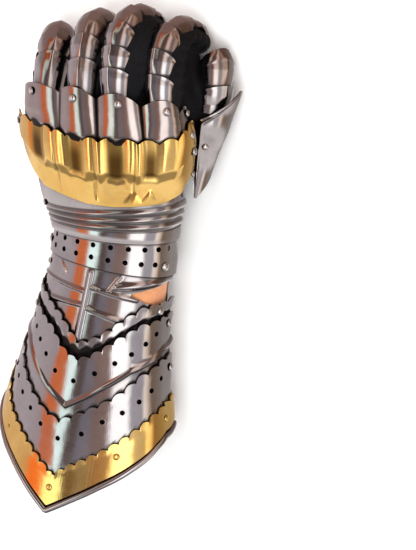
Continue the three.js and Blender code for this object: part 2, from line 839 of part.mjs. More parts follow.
function thumbLame(line, from, to) {
  const place = around(line, THUMB_RADIUS);
  const rows = [
    () => ({ along: from, lift: LAME_LOW }),
    () => ({ along: from + LAME_LAP, lift: LAME_LOW }),
    () => ({ along: to - LAME_LAP - 1, lift: LAME_HIGH }),
    (turn) => ({ along: to - 4 * (1 - Math.cos(turn * D)), lift: LAME_HIGH }),
  ];
  return sheet(place, rows, range(-80, 80, 8), LAME_THICK);
}

const thumb = thumbLine();
add('thumb_plate', thumbPlate(thumb), 'steel');
for (const { name, from, to } of THUMB_LAMES) {
  add(name, thumbLame(thumb, from, to), 'steel');
}

// Glove over the hand: a hollow sleeve with a closed front, bored for the four fingers and the thumb
const GLOVE_RINGS = [
  { along: -36, side: -7, back: -5, palm: -5 },
  { along: -10, side: -7, back: -5, palm: -5 },
  { along: 12, side: -7, back: -5, palm: -3 },
  { along: 34, side: -8, back: -5, palm: -3 },
  { along: 60, side: -8, back: -5, palm: -3 },
  { along: 78, side: -9, back: -5.5, palm: -3 },
  { along: 84, side: -12, back: -8, palm: -5 },
];

function gloveSolid(inset, reach) {
  const rings = GLOVE_RINGS.map((row, i) => {
    const edge = i === 0 ? row.along - reach : row.along;
    return range(0, 340, 17).map((turn) => {
      const slant = i > 4 ? -4.5 * Math.sin(turn * D) : 0;
      const along = edge + slant - (i > 4 ? inset : 0);
      const back = Math.cos(turn * D) >= 0;
      const z = back ? backAt(along) + row.back - inset : palmAt(along) + row.palm - inset;
      const x = sideAt(along) + row.side - inset;
      return ARM.point(along, x * Math.sin(turn * D), z * Math.cos(turn * D));
    });
  });
  return toSolid(loft(rings));
}

function bore(line, radius, from, to) {
  const a = line.point(from, 0, 0);
  const b = line.point(to, 0, 0);
  const geometry = new THREE.CylinderGeometry(radius, radius, a.distanceTo(b), 12);
  const q = new THREE.Quaternion();
  q.setFromUnitVectors(new THREE.Vector3(0, 1, 0), b.clone().sub(a).normalize());
  geometry.applyQuaternion(q);
  const p = a.add(b).multiplyScalar(0.5);
  geometry.translate(p.x, p.y, p.z);
  return toSolid(geometry);
}

function gloveHand() {
  let solid = gloveSolid(0, 0).subtract(gloveSolid(LEATHER, 3));
  for (const line of Object.values(lines)) {
    solid = solid.subtract(bore(line, FINGER_GLOVE_RADIUS - LEATHER, -12, 12));
  }
  return fromSolid(solid.subtract(bore(thumb, THUMB_RADIUS - LEATHER, -4, 40)));
}
add('glove_hand', gloveHand(), 'glove');
for (const { name } of FINGERS) {
  add(`glove_${name}`, stall(lines[name], lines[name].end + 4, FINGER_GLOVE_RADIUS), 'glove');
}
add('glove_thumb', stall(thumb, thumb.end + 4, THUMB_RADIUS), 'glove');

// Rivet heads
const SEAT = GAP;
const LOBE_SEAT = LOBE_RISE - 1.6;
const RIVETS = [
  { name: 'rivet_knuckle_pinky', turn: -41, along: 101, lift: LOBE_SEAT + 0.1, size: 1 },
  { name: 'rivet_knuckle_ring', turn: -5, along: 98, lift: LOBE_SEAT, size: 1 },
  { name: 'rivet_knuckle_middle', turn: 25, along: 94, lift: LOBE_SEAT, size: 1 },
  { name: 'rivet_knuckle_index', turn: 60, along: 87, lift: LOBE_SEAT, size: 1 },
  { name: 'rivet_tab', turn: 92, along: 82, lift: 0, size: 0.9 },
  { name: 'rivet_hand_pinky', turn: -70, along: 77, lift: OVER + FLUTE_RISE, size: 1 },
  { name: 'rivet_hand_index_1', turn: 91, along: 67, lift: OVER - 0.4, size: 1.05 },
  { name: 'rivet_hand_index_2', turn: 92, along: 55, lift: OVER + 0.4, size: 1.05 },
  { name: 'rivet_ridged_pinky', turn: -80, along: -1, lift: 1.3, size: 1 },
  { name: 'rivet_perforated_thumb', turn: 79, along: -20, lift: OVER, size: 1.15 },
  { name: 'rivet_perforated_pinky', turn: -80, along: -17.5, lift: OVER, size: 1 },
  { name: 'rivet_upper_thumb', turn: 80, along: -51, lift: OVER, size: 1 },
  { name: 'rivet_middle_thumb', turn: 93, along: -61, lift: OVER + 0.2, size: 1 },
  { name: 'rivet_bell_thumb', turn: 95, along: -93, lift: OVER + 0.1, size: 1 },
];

for (const { name, turn, along, lift, size } of RIVETS) {
  add(name, rivetHead(onArm, along, turn, lift + SEAT, size), 'steel');
}

export default group;
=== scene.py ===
from math import sin, cos, pi, radians
import bmesh
import bpy
import numpy as np
from mathutils import Matrix, Vector


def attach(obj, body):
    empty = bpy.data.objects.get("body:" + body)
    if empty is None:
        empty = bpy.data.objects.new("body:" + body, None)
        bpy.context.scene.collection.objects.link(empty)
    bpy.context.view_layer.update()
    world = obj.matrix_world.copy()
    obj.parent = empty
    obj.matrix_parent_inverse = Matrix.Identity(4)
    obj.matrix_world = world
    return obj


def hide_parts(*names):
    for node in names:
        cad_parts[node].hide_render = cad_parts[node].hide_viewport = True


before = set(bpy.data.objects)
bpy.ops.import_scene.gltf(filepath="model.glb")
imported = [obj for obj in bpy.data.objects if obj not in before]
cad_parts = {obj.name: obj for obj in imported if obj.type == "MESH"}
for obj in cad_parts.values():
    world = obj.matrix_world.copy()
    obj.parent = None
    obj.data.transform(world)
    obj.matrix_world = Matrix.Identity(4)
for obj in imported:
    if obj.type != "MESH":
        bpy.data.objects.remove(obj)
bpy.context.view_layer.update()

# A left-hand armoured gauntlet that lies palm down. Lengths are in millimetres and angles in degrees. Along
# runs up the arm to the fingers, turn goes round it from the middle of the back, plus towards the thumb, and
# lift is the height over the gauntlet's plain surface.
MM = 0.001
D = pi / 180
UP = np.array([0.0, 0.0, 1.0])

WRIST_HALF_WIDTH = 46.0
WRIST_RISE = 31.0
CUFF_LENGTH = 209.0
AXIS_START = -230.0
STRAIGHT_LENGTH = 200.0
WRIST_BEND_LENGTH = 50.0
WRIST_BEND_DEG = 14.2
WRIST_BEND_TOWARD_DEG = -50.7
STEEL = 1.2
BRASS = 1.0
LEATHER = 1.6
GAP = 0.35
OVER = STEEL + GAP
PALM_FLATNESS = 0.55
SCALLOP_DEPTH = 2.6
HOLE_RADIUS = 1.9
FINGER_GLOVE_RADIUS = 9.4
FINGER_SINK = 9.8
THUMB_RADIUS = 10.5
LAME_THICK = 1.0
LIP = SCALLOP_DEPTH + 0.7
HOLE_REACH = 7.0
HOLE_SIDES = 20
# Edges sharper than this stay sharp in the shading of plates, of round pieces and of leather
SHARP_ANGLE = 38
ROUND_ANGLE = 60
SOFT_ANGLE = 80
# The radius, in metres, that turns into a distance for the brushing
BRUSH_RADIUS = 0.05
# How the gauntlet lies on the floor
REST_PITCH_DEG = -0.8828
REST_ROLL_DEG = -0.9349
REST_SHIFT = np.array([7.945, 25.578, 31.959])

# at (share of the cuff length), half width (share of the wrist's), rise of the back and of the palm (shares)
SECTIONS = np.array([
    [-1.029, 1.609, 1.355, 1.226],
    [-0.766, 1.478, 1.274, 1.194],
    [-0.622, 1.37, 1.226, 1.161],
    [-0.478, 1.217, 1.161, 1.097],
    [-0.335, 1.087, 1.097, 1.0],
    [-0.191, 1.011, 1.0, 0.935],
    [-0.072, 1.0, 0.968, 0.903],
    [0.024, 1.043, 1.0, 0.871],
    [0.12, 1.239, 1.032, 0.806],
    [0.215, 1.37, 1.032, 0.71],
    [0.311, 1.435, 1.0, 0.645],
    [0.407, 1.391, 0.903, 0.581],
    [0.53, 1.304, 0.774, 0.516],
])

# Edges of the plates: turn, along
UPPER_TOP = [(-104, -47), (-42, -58), (-18, -67), (4, -83), (21, -75), (30, -67.5), (41, -59), (58, -50),
             (104, -43)]
MIDDLE_TOP = [(-104, -58), (-47, -70), (-23, -78), (-10, -89), (4, -95), (14, -91), (25, -83), (38, -73.5),
              (56, -63), (104, -54)]
BEAD_LINE = [(-104, -76), (-53, -92), (-30, -108), (-13, -120), (2, -128), (25, -110), (49, -94),
             (104, -73)]
BELL_TOP = [(-104, -86), (-60, -104), (-40, -118), (-24, -130), (-12, -138), (0, -142), (18, -129),
            (35, -117), (58, -99), (86, -88), (104, -84)]
BORDER_TOP = [(-104, -114), (-70, -128), (-47, -146), (-32, -156), (-19, -166), (-4, -178), (2, -182),
              (10, -173), (22, -163), (38, -150), (53, -138), (69, -127), (94, -117), (104, -113)]
RIM = [(-106, -133), (-75, -148), (-52, -164), (-30, -181), (-12, -197), (1, -208), (14, -196), (31, -181),
       (53, -164), (76, -148), (106, -133)]
HAND_TOP = [(-76, 84), (-59, 82), (-40, 79), (-17, 74), (0, 70), (30, 68), (50, 66), (66, 67), (84, 72),
            (98, 77)]
HAND_LOW = [(-76, 70), (-64, 56), (-52, 43), (-40, 34), (-16, 28), (0, 24), (20, 22), (60, 22), (83, 27),
            (98, 42)]
LOBE_EDGES = [(-64, 99), (-19, 101), (9, 97), (41, 91), (79, 84)]
# Middles of the holes: turn, along
MIDDLE_HOLES = [(-72, -71), (-57, -76), (-45, -82), (-34, -89), (-23, -97), (-11, -106), (5, -109),
                (20, -100), (35, -90), (49, -82), (63, -74), (76, -67)]
BELL_HOLES = [(-62, -114), (-48, -122), (-36, -131), (-24, -139), (-13, -147), (1, -153), (16, -145),
              (29, -133), (43, -124), (57, -115), (70, -107), (84, -99)]
# First turn, last turn, spaces, along
HOLE_ROWS = [(-49, 85, 8, -9), (-62, 64, 8, -18.5)]
# Lower and upper edge of the notch in the cone, over the leather: turn, along
NOTCH_LOW = [(43, -41.5), (61, -46), (112, -48)]
NOTCH_HIGH = [(43, -40), (60, -36), (112, -27)]

# Where a finger's root is (turn, along), its roll and size, how many lames it has, where the knuckle plate
# ends over it, how far it points outwards and down, and how loose its leather is
FINGER_COLUMNS = ("turn", "along", "roll", "size", "lames", "lobe", "fan", "dip", "slack")
FINGER_ROWS = {
    "pinky": (-47, 92, -24, 0.8, 4, 107, 13, 26, 11.0),
    "ring": (-6, 90, -8, 0.94, 5, 105, 1, 14, 12.0),
    "middle": (23, 86, 4, 1.01, 6, 101, -3, 9, 15.0),
    "index": (67, 79, 8, 0.93, 5, 94, -3, 5, 8.5),
}
FINGERS = {name: dict(zip(FINGER_COLUMNS, row)) for name, row in FINGER_ROWS.items()}
# Stretches of a finger and of the thumb: length, bend
FINGER_CURL = [(22, 6), (24, 18), (18, 40), (18, 46), (18, 30)]
THUMB_CURL = [(46, 0), (30, 12), (22, 16)]
THUMB_ROOT = (45.2, 32.5, -17)
THUMB_AIM = (8, 84, 1)
THUMB_BACK = (0.93, -0.1, 0.36)
# Along, left turn, right turn, lift
THUMB_PLATE = [(0, -30, -20, 1.8), (18, -52, 20, 1.9), (36, -66, 24, 3.4), (52, -74, 28, 5.8),
               (61, -36, 28, 7), (70, 0, 26, 9.5), (77, 16, 22, 12)]


def smooth_table(xs, ys):
    xs = np.asarray(xs, float)
    ys = np.asarray(ys, float)
    slope = np.diff(ys) / np.diff(xs)
    tangent = np.concatenate([slope[:1], np.zeros(len(xs) - 2), slope[-1:]])
    for i in range(1, len(xs) - 1):
        p, q = slope[i - 1], slope[i]
        tangent[i] = 0.0 if p * q <= 0 else 2 * p * q / (p + q)

    def value(x):
        x = np.clip(np.asarray(x, float), xs[0], xs[-1])
        i = np.clip(np.searchsorted(xs, x) - 1, 0, len(xs) - 2)
        h = xs[i + 1] - xs[i]
        t = (x - xs[i]) / h
        ends = (2 * t**3 - 3 * t**2 + 1) * ys[i] + (3 * t**2 - 2 * t**3) * ys[i + 1]
        return ends + (t**3 - 2 * t**2 + t) * h * tangent[i] + (t**3 - t**2) * h * tangent[i + 1]
    return value


def table_curve(table, column=1):
    return smooth_table([row[0] for row in table], [row[column] for row in table])


SECTION_AT = SECTIONS[:, 0] * CUFF_LENGTH
side_at = smooth_table(SECTION_AT, SECTIONS[:, 1] * WRIST_HALF_WIDTH)
back_at = smooth_table(SECTION_AT, SECTIONS[:, 2] * WRIST_RISE)
palm_at = smooth_table(SECTION_AT, SECTIONS[:, 3] * WRIST_RISE)


def turn_about(axis, angle):
    x, y, z = np.asarray(axis, float) / np.linalg.norm(axis)
    k = np.array([[0, -z, y], [z, 0, -x], [-y, x, 0]])
    return np.eye(3) + sin(angle) * k + (1 - cos(angle)) * k @ k


class CentreLine:
    """A line made of straight and bent stretches; its frame has the line along y."""

    def __init__(self, origin, frame_axes, start, stretches):
        self.parts = []
        p, q, s = np.array(origin, float), np.array(frame_axes, float), start
        for length, bend, toward in stretches:
            self.parts.append((s, length, bend * D, toward * D, p, q))
            p, q = self.frame(s + length)
            s += length
        self.end = s

    def _follow(self, part, distance):
        s, length, bend, toward, p, q = part
        y = q[:, 1]
        if abs(bend) < 1e-9:
            at = p + distance[:, None] * y
            return at, np.broadcast_to(q, (len(distance), 3, 3))
        side = q[:, 0] * sin(toward) + q[:, 2] * cos(toward)
        k = np.cross(y, side)
        angle = bend * distance / length
        radius = length / bend
        at = p + radius * (np.sin(angle)[:, None] * y + (1 - np.cos(angle))[:, None] * side)
        kx = np.array([[0, -k[2], k[1]], [k[2], 0, -k[0]], [-k[1], k[0], 0]])
        c = np.sin(angle)[:, None, None] * kx + (1 - np.cos(angle))[:, None, None] * (kx @ kx)
        return at, (np.eye(3) + c) @ q

    def frames(self, along):
        at = np.empty((len(along), 3))
        axes = np.empty((len(along), 3, 3))
        for i, part in enumerate(self.parts):
            low = -np.inf if i == 0 else part[0]
            high = np.inf if i == len(self.parts) - 1 else part[0] + part[1]
            pick = (along > low) & (along <= high)
            if pick.any():
                at[pick], axes[pick] = self._follow(part, along[pick] - part[0])
        return at, axes

    def frame(self, along):
        part = self.parts[self._index(along)]
        at, axes = self._follow(part, np.array([along - part[0]]))
        return at[0], axes[0]

    def _index(self, along):
        for i, part in enumerate(self.parts):
            if along <= part[0] + part[1] + 1e-9:
                return i
        return len(self.parts) - 1

    def points(self, along, x, z):
        along, x, z = np.broadcast_arrays(*(np.asarray(v, float) for v in (along, x, z)))
        at, axes = self.frames(along.ravel())
        out = at + axes[:, :, 0] * x.ravel()[:, None] + axes[:, :, 2] * z.ravel()[:, None]
        return out.reshape(along.shape + (3,))


ARM = CentreLine((0, AXIS_START, 0), np.eye(3), AXIS_START, [
    (STRAIGHT_LENGTH, 0, 180),
    (WRIST_BEND_LENGTH, WRIST_BEND_DEG, WRIST_BEND_TOWARD_DEG),
    (STRAIGHT_LENGTH, 0, 180),
])


def on_arm(along, turn, lift):
    along, turn, lift = np.broadcast_arrays(*(np.asarray(v, float) for v in (along, turn, lift)))
    up = np.cos(turn * D)
    rise = np.where(up >= 0, up, -np.power(np.maximum(-up, 0), PALM_FLATNESS))
    reach = np.where(up >= 0, back_at(along), palm_at(along))
    return ARM.points(along, (side_at(along) + lift) * np.sin(turn * D), (reach + lift) * rise)


def finger_line(f):
    _, q = ARM.frame(f["along"])
    start = on_arm(f["along"], f["turn"], -FINGER_SINK)
    spin = turn_about((0, 0, 1), -f["fan"] * D) @ turn_about((0, 1, 0), -f["roll"] * D)
    spin = spin @ turn_about((1, 0, 0), -f["dip"] * D)
    return CentreLine(start, q @ spin, 0, [(l * f["size"], b, 180) for l, b in FINGER_CURL])


def thumb_line():
    y = np.array(THUMB_AIM, float) / np.linalg.norm(THUMB_AIM)
    x = np.cross(y, THUMB_BACK)
    x /= np.linalg.norm(x)
    stretches = [(length, bend, 180) for length, bend in THUMB_CURL]
    return CentreLine(THUMB_ROOT, np.column_stack([x, y, np.cross(x, y)]), 0, stretches)


LINES = {name: finger_line(f) for name, f in FINGERS.items()}
LINES["thumb"] = thumb_line()
REST = turn_about((1, 0, 0), REST_PITCH_DEG * D) @ turn_about((0, 1, 0), REST_ROLL_DEG * D)


def rest(p):
    return (p @ REST.T + REST_SHIFT) * MM


def around(line, radius):
    def place(along, turn, lift):
        r = radius + lift
        return line.points(along, r * np.sin(turn * D), r * np.cos(turn * D))
    return place


def look(table, turn):
    return np.interp(turn, [row[0] for row in table], [row[1] for row in table])


def wave(x, width):
    """A round ridge of unit height."""
    return np.where(np.abs(x) < width, 0.5 + 0.5 * np.cos(pi * np.clip(x / width, -1, 1)), 0.0)


def smoothstep(x, a, b):
    t = np.clip((x - a) / (b - a), 0, 1)
    return t * t * (3 - 2 * t)


def scallop(valleys, turn, depth):
    """Round lobes between the valleys, as a rise along the arm."""
    v = np.asarray(valleys, float)
    i = np.clip(np.searchsorted(v, turn) - 1, 0, len(v) - 2)
    t = np.clip((turn - v[i]) / (v[i + 1] - v[i]), 0, 1)
    return depth * np.sin(pi * t) ** 0.8


def lobe_columns(valleys, each):
    lobes = [np.linspace(a, b, each + 1) for a, b in zip(valleys[:-1], valleys[1:])]
    return np.unique(np.concatenate(lobes))


def face_outwards(mesh):
    bm = bmesh.new()
    bm.from_mesh(mesh)
    bmesh.ops.recalc_face_normals(bm, faces=bm.faces)
    if bm.calc_volume(signed=True) < 0:
        bmesh.ops.reverse_faces(bm, faces=bm.faces)
    bm.to_mesh(mesh)
    bm.free()


def shade_smooth(mesh, sharp_angle=SHARP_ANGLE):
    mesh.polygons.foreach_set("use_smooth", [True] * len(mesh.polygons))
    mesh.update()
    mesh.set_sharp_from_angle(angle=radians(sharp_angle))


def new_object(name, verts, faces, brush=None, painted_shade=None, sharp_angle=SHARP_ANGLE):
    mesh = bpy.data.meshes.new(name)
    mesh.from_pydata([tuple(v) for v in verts], [], faces)
    if brush is not None:
        layer = mesh.attributes.new("brush", "FLOAT_VECTOR", "POINT")
        layer.data.foreach_set("vector", np.asarray(brush, np.float32).ravel())
        # The second attribute marks where shade is painted on the outer face
        layer = mesh.attributes.new("painted_shade", "FLOAT", "POINT")
        layer.data.foreach_set("value", np.asarray(painted_shade, np.float32).ravel())
    shade_smooth(mesh, sharp_angle)
    face_outwards(mesh)
    obj = bpy.data.objects.new(name, mesh)
    bpy.context.scene.collection.objects.link(obj)
    return obj


def grid_faces(m, n, base=0, closed=True):
    """Faces between m rows of n points. Closed rows join their last point to their first."""
    faces = []
    for i in range(m - 1):
        for j in range(n if closed else n - 1):
            a = base + i * n + j
            b = base + i * n + (j + 1) % n
            faces.append((a, b, b + n, a + n))
    return faces


def fan_faces(tip, base, n, forward):
    """Faces from a tip point to a closed row of n points."""
    pairs = [(base + j, base + (j + 1) % n) for j in range(n)]
    return [(tip, a, b) if forward else (tip, b, a) for a, b in pairs]


def shell_faces(m, n):
    """Faces of a grid and, by turns, of its copy beneath, then those round the edge."""
    k = m * n
    faces = []
    for a, b, c, d in grid_faces(m, n, closed=False):
        faces.append((a, b, c, d))
        faces.append((k + a, k + d, k + c, k + b))
    ring = [i * n for i in range(m)][::-1] + list(range(1, n)) + [i * n + n - 1 for i in range(1, m)]
    ring += [(m - 1) * n + j for j in range(n - 2, 0, -1)]
    return faces + [(b, a, k + a, k + b) for a, b in zip(ring, ring[1:] + ring[:1])]


def grid_sheet(name, place, rows, turns, thick, split=6, painted_shade=None):
    """A bent sheet. A row gives along, lift and maybe a shift for its turns; split is the steps per row."""
    turns = np.asarray(turns, float)
    steps = split if isinstance(split, list) else [split] * (len(rows) - 1)
    keys = []
    for row in rows:
        along, lift, *slide = row(turns)
        turn = turns + (slide[0] if slide else 0)
        keys.append(np.array([np.broadcast_to(v, turns.shape) for v in (along, lift, turn)]))
    grid = []
    for low, high, count in zip(keys[:-1], keys[1:], steps):
        grid.extend(low + (high - low) * k / count for k in range(count))
    grid = np.array(grid + [keys[-1]])
    return sheet_from(name, place, grid[:, 0], grid[:, 1], grid[:, 2], thick, painted_shade)


def sheet_from(name, place, alongs, lifts, turns, thick, painted_shade=None):
    """A bent sheet over a grid. Its last argument, a function of turn and along, gives 0 to 1 where shade is
    painted on the outer face.
    """
    m, n = alongs.shape
    turns = np.broadcast_to(turns, (m, n))
    outer = rest(place(alongs, turns, lifts)).reshape(-1, 3)
    inner = rest(place(alongs, turns, lifts - thick)).reshape(-1, 3)
    # Where each point was on the flat sheet, in metres, for the brushing
    flat = np.column_stack([alongs.ravel() * MM, (turns * D * BRUSH_RADIUS).ravel(), np.zeros(m * n)])
    shade_mask = np.zeros(m * n) if painted_shade is None else np.clip(painted_shade(turns, alongs), 0, 1).ravel()
    obj = new_object(name, np.concatenate([outer, inner]), shell_faces(m, n), np.concatenate([flat, flat]),
                     np.concatenate([shade_mask, np.zeros(m * n)]))
    inside = np.zeros(len(obj.data.polygons), np.int32)
    inside[1:2 * (m - 1) * (n - 1):2] = 1
    obj.data.materials.append(None)
    obj.data.materials.append(None)
    obj.data.polygons.foreach_set("material_index", inside)
    return obj


def axis_of(place, along, turn):
    """A point of the surface and the direction outwards from it."""
    a, b = rest(place(np.full(2, float(along)), np.full(2, float(turn)), np.array([0.0, 5.0])))
    return a, (b - a) / np.linalg.norm(b - a)


def ring_basis(axis):
    helper = np.array([1.0, 0, 0]) if abs(axis[0]) < 0.9 else np.array([0, 1.0, 0])
    u = np.cross(axis, helper)
    u /= np.linalg.norm(u)
    return u, np.cross(axis, u)


def circle(centre, basis, radius, count):
    u, v = basis
    angles = np.linspace(0, 2 * pi, count, endpoint=False)[:, None]
    return centre + (u * np.cos(angles) + v * np.sin(angles)) * radius * MM


def end_faces(base, top, n):
    """The two flat ends of a tube whose first and last rows start at base and top."""
    return [tuple(range(base + n - 1, base - 1, -1)), tuple(range(top, top + n))]


def pierce(obj, place, holes):
    """Cuts round holes into a sheet, each given as turn, along."""
    verts, faces = [], []
    for turn, along in holes:
        centre, axis = axis_of(place, along, turn)
        base = len(verts)
        for height in (-HOLE_REACH, HOLE_REACH):
            verts.extend(circle(centre + axis * height * MM, ring_basis(axis), HOLE_RADIUS, HOLE_SIDES))
        faces += grid_faces(2, HOLE_SIDES, base) + end_faces(base, base + HOLE_SIDES, HOLE_SIDES)
    cut(obj, verts, faces)


def cut(obj, verts, faces):
    tool = new_object("cutter", verts, faces)
    mod = obj.modifiers.new("cut", "BOOLEAN")
    mod.operation = "DIFFERENCE"
    mod.solver = "EXACT"
    mod.object = tool
    bpy.context.view_layer.update()
    deps = bpy.context.evaluated_depsgraph_get()
    mesh = bpy.data.meshes.new_from_object(obj.evaluated_get(deps))
    obj.modifiers.clear()
    mesh.name = obj.data.name
    obj.data = mesh
    bpy.data.objects.remove(tool)
    shade_smooth(mesh)


def tube(name, centres, radius, count):
    tangent = np.gradient(centres, axis=0)
    tangent /= np.linalg.norm(tangent, axis=1)[:, None]
    verts = []
    for centre, ahead in zip(centres, tangent):
        u = np.cross(ahead, UP)
        u /= np.linalg.norm(u)
        verts.extend(circle(centre, (u, np.cross(u, ahead)), radius, count))
    rows = len(centres)
    faces = grid_faces(rows, count) + end_faces(0, (rows - 1) * count, count)
    return new_object(name, verts, faces, sharp_angle=ROUND_ANGLE)


class Graph:
    """The shading nodes of a material or of the studio."""

    def __init__(self, tree):
        self.tree = tree

    def fill(self, node, inputs):
        """Sets or links the inputs of a node."""
        for key, value in inputs.items():
            if isinstance(value, (int, float, tuple)):
                node.inputs[key].default_value = value
            else:
                self.tree.links.new(value, node.inputs[key])

    def node(self, kind, output, inputs, **settings):
        new = self.tree.nodes.new(kind)
        for key, value in settings.items():
            setattr(new, key, value)
        self.fill(new, inputs)
        return new.outputs[output]

    def ramp(self, stops, source):
        new = self.tree.nodes.new("ShaderNodeValToRGB")
        elements = new.color_ramp.elements
        while len(elements) < len(stops):
            elements.new(0.5)
        for element, (position, colour) in zip(elements, stops):
            element.position = position
            element.color = (*colour, 1)
        self.fill(new, {"Fac": source})
        return new.outputs["Color"]

    def mask(self, low, high, source):
        """Black up to low, white from high."""
        return self.ramp([(low, (0, 0, 0)), (high, (1, 1, 1))], source)

    def noise(self, vector, scale, detail, rough=0.55, distortion=0.0):
        inputs = {"Vector": vector, "Scale": scale, "Detail": detail, "Roughness": rough,
                  "Distortion": distortion}
        return self.node("ShaderNodeTexNoise", "Fac", inputs)

    def fibres(self, vector, scale, detail, rough):
        stretched = self.node("ShaderNodeMapping", "Vector", {"Vector": vector, "Scale": scale})
        return self.noise(stretched, 1.0, detail, rough)

    def calc(self, operation, a, b, clamp=False):
        return self.node("ShaderNodeMath", 0, {0: a, 1: b}, operation=operation, use_clamp=clamp)

    def mix(self, share, a, b, blend="MIX"):
        a, b = ((*v, 1) if isinstance(v, tuple) else v for v in (a, b))
        return self.node("ShaderNodeMix", 2, {0: share, 6: a, 7: b}, data_type="RGBA", blend_type=blend)

    def bump(self, height, strength, distance, under=None):
        inputs = {"Strength": strength, "Distance": distance, "Height": height}
        if under is not None:
            inputs["Normal"] = under
        return self.node("ShaderNodeBump", "Normal", inputs)


def new_material(name):
    mat = bpy.data.materials.new(name)
    mat.use_nodes = True
    return mat, mat.node_tree.nodes["Principled BSDF"], Graph(mat.node_tree)


def metal(name, base, dark, tint, low, high, painted_shade=(0.03, 0.025, 0.02), brushed=True, dents=0.35,
          crevice_shade=0.9, painted_shade_colour=(0.012, 0.010, 0.010)):
    """Metal with clouds of a dark colour and spots of a tint; its corners and the places its mesh marks get
    painted shade. Its roughness runs from low to high.
    """
    mat, shader, g = new_material(name)
    where = g.node("ShaderNodeTexCoord", "Object", {})
    if brushed:
        flat = g.node("ShaderNodeAttribute", "Vector", {}, attribute_name="brush")
        fine = g.fibres(flat, (2600, 60, 1), 3, 0.6)
        scratch = g.fibres(flat, (110, 1500, 1), 2, 0.5)
    else:
        fine = g.noise(where, 900, 3)
        scratch = g.noise(where, 300, 3)
    cloud = g.noise(where, 26, 5, 0.6, 0.4)
    spots = g.noise(where, 140, 4, 0.7)
    shade_mask = g.node("ShaderNodeAttribute", "Fac", {}, attribute_name="painted_shade")
    # Painted shade: corners found by ambient occlusion are darkened towards a shade colour
    openness = g.node("ShaderNodeAmbientOcclusion", "AO", {"Distance": 0.009}, samples=6)
    corner_shade = g.calc("SUBTRACT", 1.0, g.mask(0.4, 0.88, openness))
    colour = g.mix(g.mask(0.35, 0.7, cloud), base, dark)
    colour = g.mix(g.calc("MULTIPLY", g.mask(0.55, 0.8, spots), 0.35), colour, tint)
    colour = g.mix(g.calc("MULTIPLY", corner_shade, crevice_shade), colour, painted_shade)
    # Painted shade from the mesh attribute, beside lips of plates above and in creases and grooves
    colour = g.mix(g.calc("MULTIPLY", shade_mask, 0.97), colour, painted_shade_colour)
    rough = g.calc("ADD", g.calc("MULTIPLY", fine, high - low), low - 0.02)
    rough = g.calc("ADD", rough, g.calc("MULTIPLY", g.calc("SUBTRACT", cloud, 0.5), 0.12))
    rough = g.calc("ADD", rough, g.calc("MULTIPLY", corner_shade, 0.25))
    rough = g.calc("ADD", rough, g.calc("MULTIPLY", shade_mask, 0.3), True)
    normal = g.bump(fine, 0.12, 0.0001)
    normal = g.bump(scratch, 0.10, 0.00015, normal)
    normal = g.bump(g.noise(where, 55, 2, 0.4), dents, 0.0006, normal)
    g.fill(shader, {"Metallic": 1.0, "Base Color": colour, "Roughness": rough, "Normal": normal})
    return mat


def hide(name, base, light, scale, rough, grain=0.5, sheen=0.0):
    """Pebbled leather."""
    mat, shader, g = new_material(name)
    where = g.node("ShaderNodeTexCoord", "Object", {})
    cells = g.node("ShaderNodeTexVoronoi", "Distance", {"Vector": where, "Scale": scale},
                   feature="DISTANCE_TO_EDGE")
    pebble = g.mask(0.0, 0.25, cells)
    cloud = g.noise(where, 40, 5, 0.6)
    fibre = g.noise(where, scale * 3, 3, 0.6)
    crease = g.calc("MULTIPLY", g.calc("SUBTRACT", 1.0, pebble), 0.5)
    colour = g.mix(g.mask(0.35, 0.75, cloud), base, light)
    colour = g.mix(crease, colour, tuple(c * 0.5 for c in base))
    rough = g.calc("ADD", rough - 0.1, g.calc("MULTIPLY", cloud, 0.2), True)
    normal = g.bump(pebble, grain, 0.00025)
    normal = g.bump(fibre, 0.25, 0.0002, normal)
    normal = g.bump(cloud, 0.4, 0.0012, normal)
    g.fill(shader, {"Base Color": colour, "Roughness": rough, "Sheen Weight": sheen,
                    "Specular IOR Level": 0.14, "Normal": normal})
    return mat


STEEL_MAT = metal("steel", (0.43, 0.41, 0.42), (0.34, 0.32, 0.33), (0.27, 0.22, 0.20), 0.07, 0.16)
# A near-black copy of the steel for the plates' inside faces: painted shade of the cuff's inside
SHADED_INSIDE_MAT = metal("steel_inside_painted_shade", (0.035, 0.032, 0.032), (0.02, 0.018, 0.018), (0.05, 0.03, 0.02), 0.55,
                   0.8, brushed=False)
# The brass darkens to brown painted shade in corners and beside the lips of plates above
BRASS_MAT = metal("brass", (0.80, 0.54, 0.19), (0.66, 0.41, 0.11), (0.42, 0.22, 0.05), 0.10, 0.2,
                  painted_shade=(0.10, 0.055, 0.012), dents=0.5, crevice_shade=0.8, painted_shade_colour=(0.075, 0.036, 0.008))
RIVET_MAT = metal("rivet_steel", (0.66, 0.64, 0.65), (0.5, 0.48, 0.48), (0.3, 0.26, 0.24), 0.14, 0.24,
                  brushed=False, dents=0.2)
BRASS_RIVET_MAT = metal("brass_rivet", (0.86, 0.60, 0.18), (0.70, 0.44, 0.10), (0.4, 0.22, 0.05), 0.14, 0.24,
                        brushed=False, dents=0.2)
# A darker, browner copy of the steel for the outer finger lames, the thumb's tip lame and the knuckle plate:
# a painted dark reflection
DARK_REFLECTION_MAT = metal("steel_painted_dark_reflection", (0.40, 0.35, 0.34), (0.31, 0.26, 0.25), (0.24, 0.18, 0.16), 0.10, 0.2)
GLOVE_MAT = hide("black_leather", (0.0035, 0.0035, 0.0045), (0.009, 0.009, 0.011), 520, 0.72)
STRAP_MAT = hide("tan_suede", (0.66, 0.27, 0.12), (0.78, 0.38, 0.19), 900, 0.85, 0.3, 0.3)


